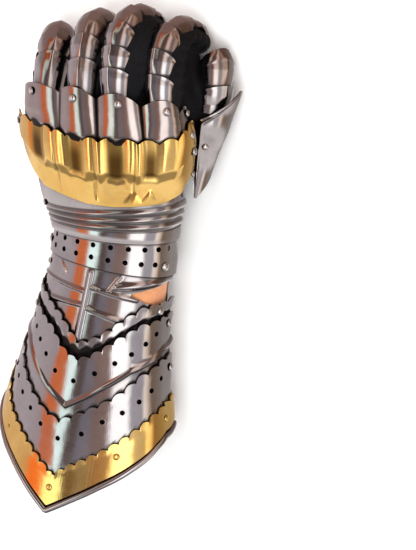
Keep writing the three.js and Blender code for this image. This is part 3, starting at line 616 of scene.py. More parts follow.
def finish_piece(obj, mat, slot_name, *nodes, rounding=0.0):
    """Gives a piece its material, and rounds its edges off by so many millimetres."""
    if rounding:
        mod = obj.modifiers.new("edge", "BEVEL")
        mod.width = rounding * MM
        mod.segments = 2
        mod.limit_method = "ANGLE"
        mod.angle_limit = radians(45)
        mod.harden_normals = False
    if len(obj.data.materials) == 2:
        obj.data.materials[0] = mat
        # The inside faces of steel and brass sheets take the near-black steel of painted shade
        obj.data.materials[1] = SHADED_INSIDE_MAT if slot_name in ("steel", "brass") else mat
    else:
        obj.data.materials.append(mat)
    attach(obj, "root")
    if nodes:
        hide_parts(*nodes)


SIDE = 103.0
LAP = 5.0
BEAD_RISE = 1.7
BEAD_HALF = 2.9
BORDER_LIFT = BRASS + GAP
RIM_RADIUS = 2.3


def edge(table, shift=0.0, lift=0.0, valleys=None):
    def row(turn):
        along, slide = scalloped(table, valleys, turn)
        return along + shift, lift, slide
    return row


def scalloped(table, valleys, turn):
    """Along and turn shift of an edge whose lobes stand square to it."""
    along = look(table, turn)
    if valleys is None:
        return along, 0.0 * along
    rise = scallop(valleys, turn, SCALLOP_DEPTH)
    round_mm = side_at(along) * D * np.sqrt(np.maximum(np.cos(turn * D), 0.0) * 0.75 + 0.25)
    slope = (look(table, turn + 3) - look(table, turn - 3)) / 6 / round_mm
    square = 1 / np.sqrt(1 + slope * slope)
    return along + rise * square, -rise * slope * square / round_mm


def even_valleys(table, count):
    """Turns that part an edge into stretches of one length."""
    turns = np.linspace(-SIDE, SIDE, 400)
    points = on_arm(look(table, turns), turns, 0.0)
    run = np.concatenate([[0.0], np.cumsum(np.linalg.norm(np.diff(points, axis=0), axis=1))])
    return np.interp(np.linspace(0, run[-1], count + 1), run, turns)


UPPER_VALLEYS = even_valleys(UPPER_TOP, 18)
MIDDLE_VALLEYS = even_valleys(MIDDLE_TOP, 19)
BELL_VALLEYS = even_valleys(BELL_TOP, 20)
BORDER_VALLEYS = even_valleys(BORDER_TOP, 27)


def rib(turn, along, a, b, width, rise):
    """A raised rib between two points given as turn, along."""
    (ta, sa), (tb, sb) = a, b
    k = 0.8
    x, y = (turn - ta) * k, along - sa
    dx, dy = (tb - ta) * k, sb - sa
    n = dx * dx + dy * dy
    t = np.clip((x * dx + y * dy) / n, 0, 1)
    return rise * wave(np.hypot(x - t * dx, y - t * dy), width)


def level(along, lift):
    return lambda turn: (along, lift)


def under_lip(table, valleys, turn, along, full, none):
    """Painted shade beside the scalloped lip of the plate above."""
    lip = look(table, turn) + scallop(valleys, turn, SCALLOP_DEPTH)
    return 1 - smoothstep(along - lip, full, none)


# The cone's ribs: from and to (turn, along), half width, rise
CONE_RIBS = [
    ((1, -88), (2, -30), 3.0, 2.3),
    ((-70, -43), (0, -45), 2.3, 1.5),
    ((-60, -58), (1, -55), 2.3, 1.5),
    ((3, -41), (50, -44), 2.3, 1.5),
    ((3, -56), (50, -62), 2.3, 1.5),
    ((31, -28), (22, -41), 2.0, 1.4),
    ((-34, -29), (-25, -36), 1.6, 0.9),
    ((28, -37), (96, -26), 4.0, 2.3),
]
CONE_TOP = -19.0


def cone():
    turns = np.unique(np.concatenate([np.linspace(-SIDE, SIDE, 150), np.linspace(-12, 14, 60)]))
    low = look(UPPER_TOP, turns) - LAP
    alongs = low + (CONE_TOP - low) * np.linspace(0, 1, 90)[:, None]
    t = np.broadcast_to(turns, alongs.shape)
    lift = np.max([rib(t, alongs, *row) for row in CONE_RIBS], axis=0)
    fade = smoothstep(-alongs, 27.0, 31.0) * smoothstep(alongs - low, LAP - 1.0, LAP + 5.0)
    lift = lift * fade - 0.3 * smoothstep(alongs, CONE_TOP - 5, CONE_TOP)

    # Painted shade beside the upper plate's lip, under the perforated band's edge and along a crease on the
    # thumb side
    def shade_mask(turn, along):
        out = under_lip(UPPER_TOP, UPPER_VALLEYS, turn, along, 0.5, 2.6)
        out = np.maximum(out, smoothstep(along, -28.6, -27.0))
        return np.maximum(out, 0.7 * rib(turn, along, (34, -40.5), (98, -30.5), 1.6, 1.0))
    obj = sheet_from("wrist_cone_plate", on_arm, alongs, lift, turns, STEEL, shade_mask)
    # The notch widens towards the thumb side
    n = 24
    turns = np.linspace(NOTCH_LOW[0][0], NOTCH_LOW[-1][0], n)
    rows = [rest(on_arm(look(table, turns), turns, height))
            for height in (5.0, -5.0) for table in (NOTCH_LOW, NOTCH_HIGH)]
    faces = []
    for j in range(n - 1):
        faces.append((j, j + 1, n + j + 1, n + j))
        faces.append((2 * n + j, 3 * n + j, 3 * n + j + 1, 2 * n + j + 1))
        faces.append((j, 2 * n + j, 2 * n + j + 1, j + 1))
        faces.append((n + j, n + j + 1, 3 * n + j + 1, 3 * n + j))
    faces += [(0, n, 3 * n, 2 * n), (n - 1, 3 * n - 1, 4 * n - 1, 2 * n - 1)]
    cut(obj, np.concatenate(rows), faces)
    finish_piece(obj, STEEL_MAT, "steel", "wrist_cone", rounding=0.25)


def upper_plate():
    rows = [
        edge(MIDDLE_TOP, -LAP, 0),
        lambda t: (np.minimum(look(MIDDLE_TOP, t) + LIP, look(UPPER_TOP, t) - LAP - 1.8), 0.0),
        edge(UPPER_TOP, -LAP - 0.8, OVER),
        edge(UPPER_TOP, -3.0, OVER + 0.3),
        edge(UPPER_TOP, 0, OVER + 0.9, UPPER_VALLEYS),
    ]

    def shade_mask(turn, along):
        # Painted shade under the middle plate's lip, in a band that is widest at the back
        reach = 3.0 + 5.0 * np.exp(-((turn - 3) / 26.0) ** 2)
        return under_lip(MIDDLE_TOP, MIDDLE_VALLEYS, turn, along, reach, reach + 1.6)
    obj = grid_sheet("upper_plate", on_arm, rows, lobe_columns(UPPER_VALLEYS, 10), STEEL, [4, 10, 4, 4],
                     shade_mask)
    finish_piece(obj, STEEL_MAT, "steel", "scalloped_plate_upper", rounding=0.3)


def middle_plate():
    rows = [
        edge(BELL_TOP, -LAP, -0.2),
        edge(BEAD_LINE, -BEAD_HALF, 0.2),
        edge(BEAD_LINE, -BEAD_HALF * 0.5, 1.6),
        edge(BEAD_LINE, 0, 0.7 + BEAD_RISE),
        edge(BEAD_LINE, BEAD_HALF * 0.5, 1.9),
        edge(BEAD_LINE, BEAD_HALF, 0.8),
        edge(MIDDLE_TOP, -5, OVER + 0.2),
        edge(MIDDLE_TOP, 0, OVER + 0.6, MIDDLE_VALLEYS),
    ]

    # Painted shade under the bell plate's lip, and a painted shadow line just below the bead
    def shade_mask(turn, along):
        groove = 0.55 * wave(along - look(BEAD_LINE, turn) + BEAD_HALF + 0.6, 1.2)
        return np.maximum(under_lip(BELL_TOP, BELL_VALLEYS, turn, along, 1.0, 3.2), groove)
    obj = grid_sheet("middle_plate", on_arm, rows, lobe_columns(MIDDLE_VALLEYS, 10), STEEL,
                     [10, 2, 2, 2, 2, 8, 4], shade_mask)
    pierce(obj, on_arm, MIDDLE_HOLES)
    finish_piece(obj, STEEL_MAT, "steel", "scalloped_plate_middle", rounding=0.28)


def bell():
    rows = [
        edge(RIM, 0.5, 0),
        edge(BORDER_TOP, LIP, 0),
        edge(BELL_TOP, -LAP - 0.8, OVER),
        edge(BELL_TOP, -3, OVER + 0.1),
        edge(BELL_TOP, 0, OVER + 0.3, BELL_VALLEYS),
    ]

    # Painted shade under the brass band's scalloped lip
    def shade_mask(turn, along):
        return under_lip(BORDER_TOP, BORDER_VALLEYS, turn, along, 0.2, 1.6)
    obj = grid_sheet("bell_plate_body", on_arm, rows, lobe_columns(BELL_VALLEYS, 10), STEEL, [8, 12, 3, 4],
                     shade_mask)
    pierce(obj, on_arm, BELL_HOLES)
    finish_piece(obj, STEEL_MAT, "steel", "bell_plate", rounding=0.3)
    turns = np.linspace(-SIDE, SIDE, 240)
    line = rest(on_arm(look(RIM, turns), turns, 0.4))
    finish_piece(tube("rolled_rim", line, RIM_RADIUS, 16), STEEL_MAT, "steel")


def border():
    rows = [
        edge(RIM, RIM_RADIUS + 1.9, BORDER_LIFT),
        edge(BORDER_TOP, -3, BORDER_LIFT),
        edge(BORDER_TOP, 0, BORDER_LIFT + 0.3, BORDER_VALLEYS),
    ]
    obj = grid_sheet("brass_edge_band", on_arm, rows, lobe_columns(BORDER_VALLEYS, 8), BRASS, [8, 4])
    finish_piece(obj, BRASS_MAT, "brass", "brass_border", rounding=0.3)
    # The lap where one length of the band runs over the next
    rows = [edge(RIM, RIM_RADIUS + 2.4, BORDER_LIFT + 0.5), edge(BORDER_TOP, 0.6, BORDER_LIFT + 0.5)]
    lap = grid_sheet("brass_lap", on_arm, rows, np.linspace(23.6, 26.4, 8), 0.6, 10)
    finish_piece(lap, BRASS_MAT, "brass", rounding=0.2)


def palm_side():
    rows = [level(along, -OVER - 0.5) for along in (-131, -118, -98, -72, -46, -24)]
    obj = grid_sheet("palm_plate", on_arm, rows, np.linspace(98, 262, 90), STEEL, 4)
    finish_piece(obj, STEEL_MAT, "steel", "palm_cuff_plate", rounding=0.35)
    rows = [level(along, -OVER - 0.3) for along in (-50, -38, -26)]
    obj = grid_sheet("wrist_leather", on_arm, rows, np.linspace(38, 94, 40), LEATHER, 8)
    finish_piece(obj, STRAP_MAT, "strap", "wrist_strap", rounding=0.3)


def shade_sheet():
    """A black leather sheet inside the cuff, put there as painted shade so that the holes show dark."""
    rows = [
        edge(RIM, 24.0, -STEEL - 2.4),
        edge(BELL_TOP, -2.0, -STEEL - 2.2),
        edge(UPPER_TOP, 0.0, -STEEL - 1.6),
    ]
    obj = grid_sheet("cuff_shade_sheet", on_arm, rows, np.linspace(-94, 94, 80), LEATHER, 14)
    finish_piece(obj, GLOVE_MAT, "glove", rounding=0.3)


shade_sheet()
cone()
upper_plate()
middle_plate()
bell()
border()
palm_side()


# Profiles of the two wrist lames: along, lift
PERFORATED = [(-26.5, OVER), (-17.5, OVER), (-8, 0), (1, -0.7)]
RIDGES = [(-5, OVER + 0.1), (-2, OVER + 0.25), (2.4, 1.5), (3.6, 1.2), (6, 2.5), (8.6, 1.0), (11.2, 2.3),
          (13.8, 0.8), (16.4, 1.9), (19, 0.2)]
# Where the ridges end and the plain tail that runs under the brass plate starts
TAIL = 19.0
GROOVES = (3.2, 8.5, 13.7, 19.4)


def wrist_lames():
    turns = np.linspace(-98, SIDE, 130)
    # Painted shade where the ridged band laps over the perforated band
    obj = grid_sheet("perforated_band", on_arm, [level(*row) for row in PERFORATED], turns, STEEL, 8,
                     lambda turn, along: smoothstep(along, -6.4, -5.2))
    holes = []
    for first, last, count, along in HOLE_ROWS:
        holes.extend((turn, along) for turn in np.linspace(first, last, count + 1))
    pierce(obj, on_arm, holes)
    finish_piece(obj, STEEL_MAT, "steel", "perforated_lame", rounding=0.28)

    alongs = np.concatenate([np.linspace(-5, TAIL, 60), np.linspace(19.4, 30, 12)])[:, None]
    end = np.where(turns > 80, 25.0, 30.0 + 4.0 * smoothstep(-turns, 30, 45))
    share = (alongs - TAIL) / (30 - TAIL)
    side = -2.5 * np.sin(turns * D) ** 2
    lift = np.where(share > 0, 0.2 + (side - 0.2) * share, table_curve(RIDGES)(alongs))
    alongs = np.where(share > 0, TAIL + share * (end - TAIL), alongs)

    # Painted shade in the grooves between the ridges
    def shade_mask(turn, along):
        return 0.75 * np.max([wave(along - groove, 1.1) for groove in GROOVES], axis=0)
    obj = sheet_from("ridged_band", on_arm, alongs, lift, turns, STEEL, shade_mask)
    finish_piece(obj, STEEL_MAT, "steel", "ridged_lame", rounding=0.28)


HAND_LOBE = 3.4
HAND_VALLEYS = [-76, -60, -45, -32, -22, -12, 0, 11, 22, 36, 52, 68, 84, 98]
# sunk panels over the knuckles: first and last turn, where the step is (share of the height)
PANELS = [(-48, -27, 0.40), (-15, 4, 0.38), (11, 32, 0.34), (36, 56, 0.36)]
HAND_CREASES = [-21, 7.5, 34.0]
# Turns of the raised darts near the low edge
HAND_DARTS = (34, 47)


def brass_hand():
    turns = lobe_columns(HAND_VALLEYS, 16)
    low, high = look(HAND_LOW, turns), look(HAND_TOP, turns)
    share = np.linspace(0, 1, 64)[:, None]
    lobes = scallop(HAND_VALLEYS, turns, HAND_LOBE)
    alongs = low + (high - 1.5 + lobes - low) * share
    t = np.broadcast_to(turns, alongs.shape)
    grow = smoothstep(share, 0.34, 0.52)
    lift = OVER + 2.0 * grow * (t < 76) + 0.3 * grow
    lift = lift + 0.25 * scallop(HAND_VALLEYS, turns, 1.0) * smoothstep(share, 0.7, 0.95) * (t < 66)
    for a, b, step in PANELS:
        across = smoothstep(t, a, a + 7) * (1 - smoothstep(t, b - 7, b))
        lift = lift - 2.0 * across * smoothstep(share, step, step + 0.12)
    for c in HAND_CREASES:
        fold = wave(t - c, 2.2) * smoothstep(share, 0.02, 0.3)
        lift = lift - 0.8 * fold * (1 - 0.5 * smoothstep(share, 0.5, 1))
        lift = lift + 0.5 * wave(t - c - 3.2, 3.4) * smoothstep(share, 0.05, 0.4)
    wide = 1.0 + 7.0 * (1 - smoothstep(share, 0.02, 0.26))
    for c in HAND_DARTS:
        lift = lift + 0.8 * np.clip(1 - np.abs(t - c) / wide, 0, 1) * (1 - smoothstep(share, 0.16, 0.27))
    lift = np.maximum(lift, OVER - 0.3)

    # Painted shade in the sunk panels, lighter near the top edge, and along the creases
    def shade_mask(turn, along):
        height = (along - look(HAND_LOW, turn)) / (look(HAND_TOP, turn) - look(HAND_LOW, turn))
        depth = 0.98 - 0.35 * smoothstep(height, 0.7, 0.98)
        out = 0.0
        for a, b, step in PANELS:
            across = smoothstep(turn, a + 1, a + 8) * (1 - smoothstep(turn, b - 9, b - 1))
            out = np.maximum(out, across * smoothstep(height, step, step + 0.14) * depth)
        for c in HAND_CREASES:
            out = np.maximum(out, 0.4 * wave(turn - c, 1.4) * smoothstep(height, 0.1, 0.3))
        return out
    obj = sheet_from("brass_hand_cover", on_arm, alongs, lift, turns, BRASS, shade_mask)
    finish_piece(obj, BRASS_MAT, "brass", "brass_hand_plate", rounding=0.3)


LOBE_RISE = 6.5
LOBE_REACH = 8.5
TAB_VALLEYS = [76, 88, 100]


def lobe_wave(turn):
    out = np.zeros_like(turn)
    for (a, _), (b, _) in zip(LOBE_EDGES[:-1], LOBE_EDGES[1:]):
        pick = (turn >= a) & (turn <= b)
        out = np.where(pick, np.sin(pi * np.clip((turn - a) / (b - a), 0, 1)), out)
    return out


def knuckles():
    turns = lobe_columns([row[0] for row in LOBE_EDGES], 30)
    swell = LOBE_RISE * np.maximum(lobe_wave(turns), 0) ** 0.5 - 1.6
    hand = look(HAND_TOP, turns)
    tops = look(LOBE_EDGES, turns)
    keys = [(hand - 7, np.full_like(turns, -0.2)), (hand - 2.0, swell * 0.45), (hand + 2.5, swell * 0.72),
            (tops - 8, swell * 0.93), (tops - 3, swell * 0.98),
            (tops - 1.5 + LOBE_REACH * lobe_wave(turns) ** 0.7, swell)]
    x = np.linspace(0, len(keys) - 1, 46)
    i = np.clip(x.astype(int), 0, len(keys) - 2)
    f = (x - i)[:, None]
    a = np.array([k[0] for k in keys])
    lifts = np.array([k[1] for k in keys])
    alongs = a[i] + (a[i + 1] - a[i]) * f
    lift = lifts[i] + (lifts[i + 1] - lifts[i]) * f * f * (3 - 2 * f)

    # Painted shade under the brass plate's scalloped lip and in the valleys between the lobes
    def shade_mask(turn, along):
        lip = look(HAND_TOP, turn) - 1.5 + scallop(HAND_VALLEYS, turn, HAND_LOBE)
        out = 1 - smoothstep(along - lip, 0.6, 2.4)
        for valley, _ in LOBE_EDGES[1:-1]:
            out = np.maximum(out, 0.8 * wave(turn - valley, 2.2))
        return out
    obj = sheet_from("knuckle_cover", on_arm, alongs, lift, turns, STEEL, shade_mask)
    # The knuckle plate takes the darker steel of the painted dark reflection
    finish_piece(obj, DARK_REFLECTION_MAT, "steel", "knuckle_plate", rounding=0.3)
    rows = [
        level(66.0, -0.4),
        level(80.0, -0.4),
        lambda t: (86.5 - np.abs(t - 90) * 0.45 + scallop(TAB_VALLEYS, t, 1.4), -0.4),
    ]
    tab = grid_sheet("knuckle_side_tab", on_arm, rows, lobe_columns(TAB_VALLEYS, 12), STEEL, 6)
    finish_piece(tab, STEEL_MAT, "steel", "side_tab", rounding=0.3)


LAME_LOW = 0.7 + LAME_THICK
LAME_HIGH = LAME_LOW + LAME_THICK + 0.6
LAME_LAP = 5.5


def finger_lame(name, node_name, line, start, to, last, radius, left, right, roundness, lame_material):
    """A plate over a finger from start to to; the last one closes over the tip."""
    turns = np.linspace(-left, right, 57)
    rounded = roundness * (1 - np.cos(turns * D)) + 3.5 * np.clip(turns / right, 0, 1) ** 7
    ridge = 0.55 * np.exp(-(turns / 9.0) ** 2)
    rows = [
        level(start, LAME_LOW),
        level(start + LAME_LAP, LAME_LOW),
        level(to - LAME_LAP - 1, LAME_HIGH + ridge),
        level(to - 1.6 - rounded, LAME_HIGH + ridge),
        level(to - rounded, LAME_HIGH + 0.25 + ridge),
    ]
    steps = [4, 10, 6, 3]
    if last:
        rows += [level(to + 4 - rounded, LAME_HIGH - 1), level(to + 7 - rounded, LAME_HIGH - 2.4)]
        steps += [4, 4]
    lap_shadow = 0.0 if node_name.endswith("1") else 0.9

    def shade_mask(turn, along):
        # A painted shadow line where the plate before this one ends over it
        return lap_shadow * (1 - smoothstep(along - start, LAME_LAP - 0.2, LAME_LAP + 1.2))
    obj = grid_sheet(name, around(line, radius), rows, turns, LAME_THICK, steps, shade_mask)
    finish_piece(obj, lame_material, "steel", node_name, rounding=0.22)


def glove_finger(name, radius, wide, drop, root, seed, narrow=0.0):
    """A loose leather finger: wider than the plates over it, wrinkled across."""
    rng = np.random.default_rng(seed)
    line = LINES[name]
    n = 48
    turns = np.linspace(0, 360, n, endpoint=False)
    over, across = np.cos(turns * D), np.sin(turns * D)
    start, end = -root, line.end + 4 - radius
    phase = rng.uniform(0, 2 * pi, 4)
    freq = rng.uniform(0.35, 0.95, 4)
    rings = []
    for s in np.linspace(start, end, 70):
        share = (s - start) / (end - start)
        slack = wide * (0.1 + 0.9 * min(1.0, 4 * share))
        slack *= 0.35 + 0.65 * sin(pi * min(1, 0.25 + share * 0.75))
        fold = sum(sin(freq[k] * s + phase[k]) for k in range(4)) * 0.22
        taper = 1.0 - narrow * (1.0 - float(smoothstep(s, start, start + 10)))
        r = radius - 0.3 + fold * (0.3 + 0.9 * (over < 0.35))
        belly = slack * np.clip(1.1 - np.abs(over + 0.25), 0, 1)
        x = (r + belly * np.where(across > 0, 1.0, 0.35)) * across
        z = np.where(over > 0, radius - 0.3, r + drop) * over
        rings.append(rest(line.points(s, x * taper, z * taper)))
    # The round tip
    for a in np.linspace(8, 84, 8):
        x = radius * cos(a * D) * across * (1 + 0.02 * wide)
        z = (radius - 0.3) * cos(a * D) * over
        rings.append(rest(line.points(end + radius * sin(a * D), x, z)))
    verts = np.concatenate(rings + [rings[0].mean(0)[None], rings[-1].mean(0)[None]])
    k = len(rings) * n
    faces = grid_faces(len(rings), n) + fan_faces(k, 0, n, False) + fan_faces(k + 1, k - n, n, True)
    obj = new_object("leather_" + name, verts, faces, sharp_angle=SOFT_ANGLE)
    finish_piece(obj, GLOVE_MAT, "glove", "glove_" + name)


def fingers():
    for seed, (name, f) in enumerate(FINGERS.items()):
        line = LINES[name]
        count = f["lames"]
        first = f["lobe"] - f["along"]
        pitch = (line.end - 4 - first) / count
        for i in range(count):
            to = first + pitch * (i + 1)
            start = 3 if i == 0 else to - pitch - LAME_LAP
            last = i == count - 1
            outer = i >= count - 3
            right = 60.0 if last else 76.0 if outer else 90.0
            roundness = 9.0 if last else 6.5 if outer else 5.0
            # The three outer lames take the darker steel of the painted dark reflection
            lame_material = DARK_REFLECTION_MAT if outer else STEEL_MAT
            finger_lame(f"{name}_plate_{i + 1}", f"{name}_lame_{i + 1}", line, start, to - 3 if last else to,
                        last, FINGER_GLOVE_RADIUS, 94.0, right, roundness, lame_material)
        glove_finger(name, FINGER_GLOVE_RADIUS, f["slack"], 1.5, 3.0, 11 + seed)


# Start and end of each thumb lame, and its metal; the tip lame takes the darker steel that paints a dark
# reflection
THUMB_LAMES = [(60, 79, STEEL_MAT), (73, 95, DARK_REFLECTION_MAT)]


def thumb():
    line = LINES["thumb"]
    for i, (start, to, lame_material) in enumerate(THUMB_LAMES):
        finger_lame(f"thumb_plate_far_{i + 1}", f"thumb_lame_{i + 1}", line, start, to, i == 1, THUMB_RADIUS,
                    74.0, 66.0, 5.0, lame_material)
    glove_finger("thumb", THUMB_RADIUS, 2.0, 0.6, -13.0, 29, 0.5)
    left, right, height = (table_curve(THUMB_PLATE, column) for column in (1, 2, 3))
    alongs, share = np.meshgrid(np.linspace(0, THUMB_PLATE[-1][0], 70), np.linspace(0, 1, 41), indexing="ij")

    def place(along, s, lift):
        turn = left(along) + (right(along) - left(along)) * s
        return around(line, THUMB_RADIUS)(along, turn, lift)
    lift = height(alongs) + 1.0 * np.exp(-((share - 0.16) / 0.05) ** 2)
    obj = sheet_from("thumb_shield", place, alongs, lift, share, STEEL)
    finish_piece(obj, STEEL_MAT, "steel", "thumb_plate", rounding=0.3)


def glove_web(name, near, far, near_turn, far_turn, near_span, far_span, slack):
    """Leather between two fingers. A span is where it starts along the finger and how far it runs."""
    m, n = 60, 26
    s = np.linspace(0, 1, m)[:, None]
    w = np.linspace(0, 1, n)[None, :]
    sides = ((near, 9.2, near_span, near_turn), (far, 9.6, far_span, far_turn))
    a, b = [around(LINES[finger], radius)(np.broadcast_to(span[0] + span[1] * s, (m, n)), turn, 0.0)
            for finger, radius, span, turn in sides]
    top = a + (b - a) * w[..., None]
    middle = np.sin(pi * w)
    sag = slack * middle * (4.0 * (0.4 + 0.6 * s) + 0.7 * np.sin(19 * s + 5 * w))
    top = top - sag[..., None] * np.array([0.25, 0.0, 1.0])
    top = top - (9.0 * slack * s**3 * middle)[..., None] * np.array([0.0, 1.0, 0.0])
    bottom = top - np.array([0.5, 0.0, 1.5])
    verts = np.concatenate([rest(top).reshape(-1, 3), rest(bottom).reshape(-1, 3)])
    obj = new_object(name, verts, shell_faces(m, n), sharp_angle=SOFT_ANGLE)
    finish_piece(obj, GLOVE_MAT, "glove")


# How far the glove's hand lies inside the plates' surface: along, at the sides, at the back, at the palm
GLOVE_INSET = [(-36, -7, -5, -5), (-10, -7, -5, -5), (12, -7, -5, -3), (34, -8, -5, -3), (60, -8, -5, -3),
               (78, -9, -5.5, -3), (84.6, -13, -9, -6)]


def glove_body():
    alongs = np.concatenate([np.linspace(-36, 76, 70), [79, 81.5, 83.5, 84.6]])
    side, back, palm = (table_curve(GLOVE_INSET, column) for column in (1, 2, 3))
    n = 96
    turns = np.linspace(0, 360, n, endpoint=False)
    over, across = np.cos(turns * D), np.sin(turns * D)

    def ring(s, inset):
        along = s - 4.5 * across * smoothstep(s, 60, 78) - (inset if s > 60 else 0)
        rise = np.where(over >= 0, back_at(along) + back(s), palm_at(along) + palm(s)) - inset
        fold = 0.0 if inset else 0.5 * sin(s * 0.42 + 1.0) * np.sin(turns * D * 5 + s * 0.11) - 0.25
        wide = side_at(along) + side(s) - inset + fold
        return rest(ARM.points(along, wide * across, (rise + fold) * over))
    outer = [ring(s, 0.0) for s in alongs]
    inner = [ring(s, LEATHER) for s in alongs[::-1]]
    # Both faces are closed across the knuckles and meet at the wrist's open end
    verts = np.concatenate(outer + [outer[-1].mean(0)[None]] + inner + [inner[0].mean(0)[None]])
    half = len(alongs)
    second = half * n + 1
    last = second + (half - 1) * n
    faces = grid_faces(half, n) + grid_faces(half, n, second)
    faces += fan_faces(half * n, (half - 1) * n, n, True) + fan_faces(len(verts) - 1, second, n, False)
    for j in range(n):
        k = (j + 1) % n
        faces.append((j, k, last + k, last + j))
    obj = new_object("leather_hand", verts, faces, sharp_angle=SOFT_ANGLE)
    finish_piece(obj, GLOVE_MAT, "glove", "glove_hand")


# A rivet's head as shares of its radius and height, from the foot's middle to the top's
DOME = [(0, 0), (1.0, 0.0), (1.0, 0.16), (0.94, 0.36), (0.8, 0.62), (0.58, 0.83), (0.3, 0.96), (0, 1.0)]
DOME_SIDES = 24
SEAT = LOBE_RISE - 1.6
# Piece, turn, along, lift, size
RIVET_HEADS = [
    ("rivet_knuckle_pinky", -41, 101, SEAT + 0.1, 1), ("rivet_knuckle_ring", -5, 98, SEAT, 1),
    ("rivet_knuckle_middle", 25, 94, SEAT, 1), ("rivet_knuckle_index", 60, 87, SEAT, 1),
    ("rivet_tab", 92, 82, 0, 0.9), ("rivet_hand_pinky", -70, 77, OVER + 1.9, 1),
    ("rivet_hand_index_1", 91, 67, OVER - 0.4, 1.05), ("rivet_hand_index_2", 92, 55, OVER + 0.4, 1.05),
    ("rivet_ridged_pinky", -80, -1, 1.3, 1), ("rivet_perforated_thumb", 79, -20, OVER, 1.15),
    ("rivet_perforated_pinky", -80, -17.5, OVER, 1), ("rivet_upper_thumb", 80, -51, OVER, 1),
    ("rivet_middle_thumb", 93, -61, OVER + 0.2, 1), ("rivet_bell_thumb", 95, -93, OVER + 0.1, 1),
]
SMALL_RIVETS = [
    ("brass_nail_1", 1, -190, BORDER_LIFT, 0.95), ("brass_nail_2", 41, -156, BORDER_LIFT, 0.95),
    ("brass_nail_3", 90, -128, BORDER_LIFT, 0.95), ("brass_nail_4", -42, -160, BORDER_LIFT, 0.5),
    ("brass_nail_5", -88, -126, BORDER_LIFT, 0.95), ("edge_rivet_1", -55, 19, 1.0, 0.8),
    ("edge_rivet_2", -63, -16, OVER, 0.9), ("edge_rivet_3", -63, -35, 0.6, 0.8),
    ("edge_rivet_4", -60, -54, OVER + 0.4, 0.85), ("edge_rivet_5", -60, -67, OVER + 0.8, 0.85),
    ("edge_rivet_6", -64, -116, OVER, 0.85), ("edge_rivet_7", -63, -130, BORDER_LIFT, 0.7),
    ("edge_rivet_8", -66, 80, OVER + 2.0, 0.8), ("edge_rivet_9", 96, 38, OVER + 0.2, 0.9),
]


def rivet(name, place, turn, along, lift, radius, height, mat, slot_name, *nodes):
    foot, axis = axis_of(place, along, turn)
    basis = ring_basis(axis)
    foot = foot + axis * lift * MM
    rings = [circle(foot + axis * h * height * MM, basis, r * radius, DOME_SIDES) for r, h in DOME[1:-1]]
    verts = np.concatenate(rings + [[foot, foot + axis * height * MM]])
    k = len(rings) * DOME_SIDES
    faces = grid_faces(len(rings), DOME_SIDES) + fan_faces(k, 0, DOME_SIDES, False)
    faces += fan_faces(k + 1, k - DOME_SIDES, DOME_SIDES, True)
    finish_piece(new_object(name, verts, faces, sharp_angle=ROUND_ANGLE), mat, slot_name, *nodes)


def rivets():
    for name, turn, along, lift, size in RIVET_HEADS:
        rivet(name + "_head", on_arm, turn, along, lift + 0.1, 2.9 * size, 1.9 * size, RIVET_MAT, "steel",
              name)
    for name, turn, along, lift, size in SMALL_RIVETS:
        mat, slot_name = (BRASS_RIVET_MAT, "brass") if name.startswith("brass") else (RIVET_MAT, "steel")
        rivet(name, on_arm, turn, along, lift - 0.05, 2.6 * size, 1.5 * size, mat, slot_name)
    rivet("thumb_shield_rivet", around(LINES["thumb"], THUMB_RADIUS), -36, 38, 3.6, 2.3, 1.5, RIVET_MAT,
          "steel")


wrist_lames()
brass_hand()
knuckles()
fingers()
thumb()
glove_body()
glove_web("leather_thumb_web", "index", "thumb", 112.0, -66.0, (-4, 82), (28, 58), 1.0)
glove_web("leather_index_web", "middle", "index", 78.0, -78.0, (-3, 33), (0, 33), 0.4)
glove_web("leather_middle_web", "ring", "middle", 78.0, -78.0, (-3, 33), (0, 33), 0.4)
rivets()

# The view: how far it is turned to the thumb side, tilted to the fingers and rolled, and where the picture's
# middle falls
PHI, TAU, RHO = 28.0 * D, 14.0 * D, 9.0 * D
MM_PER_PIXEL = 0.72
CAMERA_DISTANCE = 1350.0
TARGET = np.array([0.0, -35.0, 0.0])
ORIGIN_PIXEL = (117.0, 225.0)
PICTURE = (416, 550)
SENSOR = 36.0


def camera():
    back = np.array([sin(PHI) * cos(TAU), sin(TAU), cos(PHI) * cos(TAU)])
    up0 = np.array([-sin(PHI) * sin(TAU), cos(TAU), -cos(PHI) * sin(TAU)])
    right0 = np.cross(up0, back)
    right = right0 * cos(RHO) + up0 * sin(RHO)
    up = -right0 * sin(RHO) + up0 * cos(RHO)
    x0 = ORIGIN_PIXEL[0] + TARGET @ right / MM_PER_PIXEL
    y0 = ORIGIN_PIXEL[1] - TARGET @ up / MM_PER_PIXEL
    data = bpy.data.cameras.new("view")
    data.sensor_fit = "VERTICAL"
    data.sensor_height = SENSOR
    data.sensor_width = SENSOR * PICTURE[0] / PICTURE[1]
    # The camera looks at what stands in the middle of the picture
    across = (PICTURE[0] / 2 - x0) * MM_PER_PIXEL
    upwards = (y0 - PICTURE[1] / 2) * MM_PER_PIXEL
    sight = across * right + upwards * up - CAMERA_DISTANCE * back
    reach = np.linalg.norm(sight)
    eye = TARGET + back * CAMERA_DISTANCE
    back = -sight / reach
    right = np.cross(up, back)
    right /= np.linalg.norm(right)
    data.lens = SENSOR * reach / (PICTURE[1] * MM_PER_PIXEL)
    data.clip_start = 0.05
    data.clip_end = 20.0
    data.dof.use_dof = False
    obj = bpy.data.objects.new("view", data)
    bpy.context.scene.collection.objects.link(obj)
    axes = REST @ np.column_stack([right, np.cross(back, right), back])
    obj.matrix_world = Matrix([[*row, at] for row, at in zip(axes, rest(eye))] + [[0, 0, 0, 1]])
    bpy.context.scene.camera = obj


FLOOR_HALF = 3.0


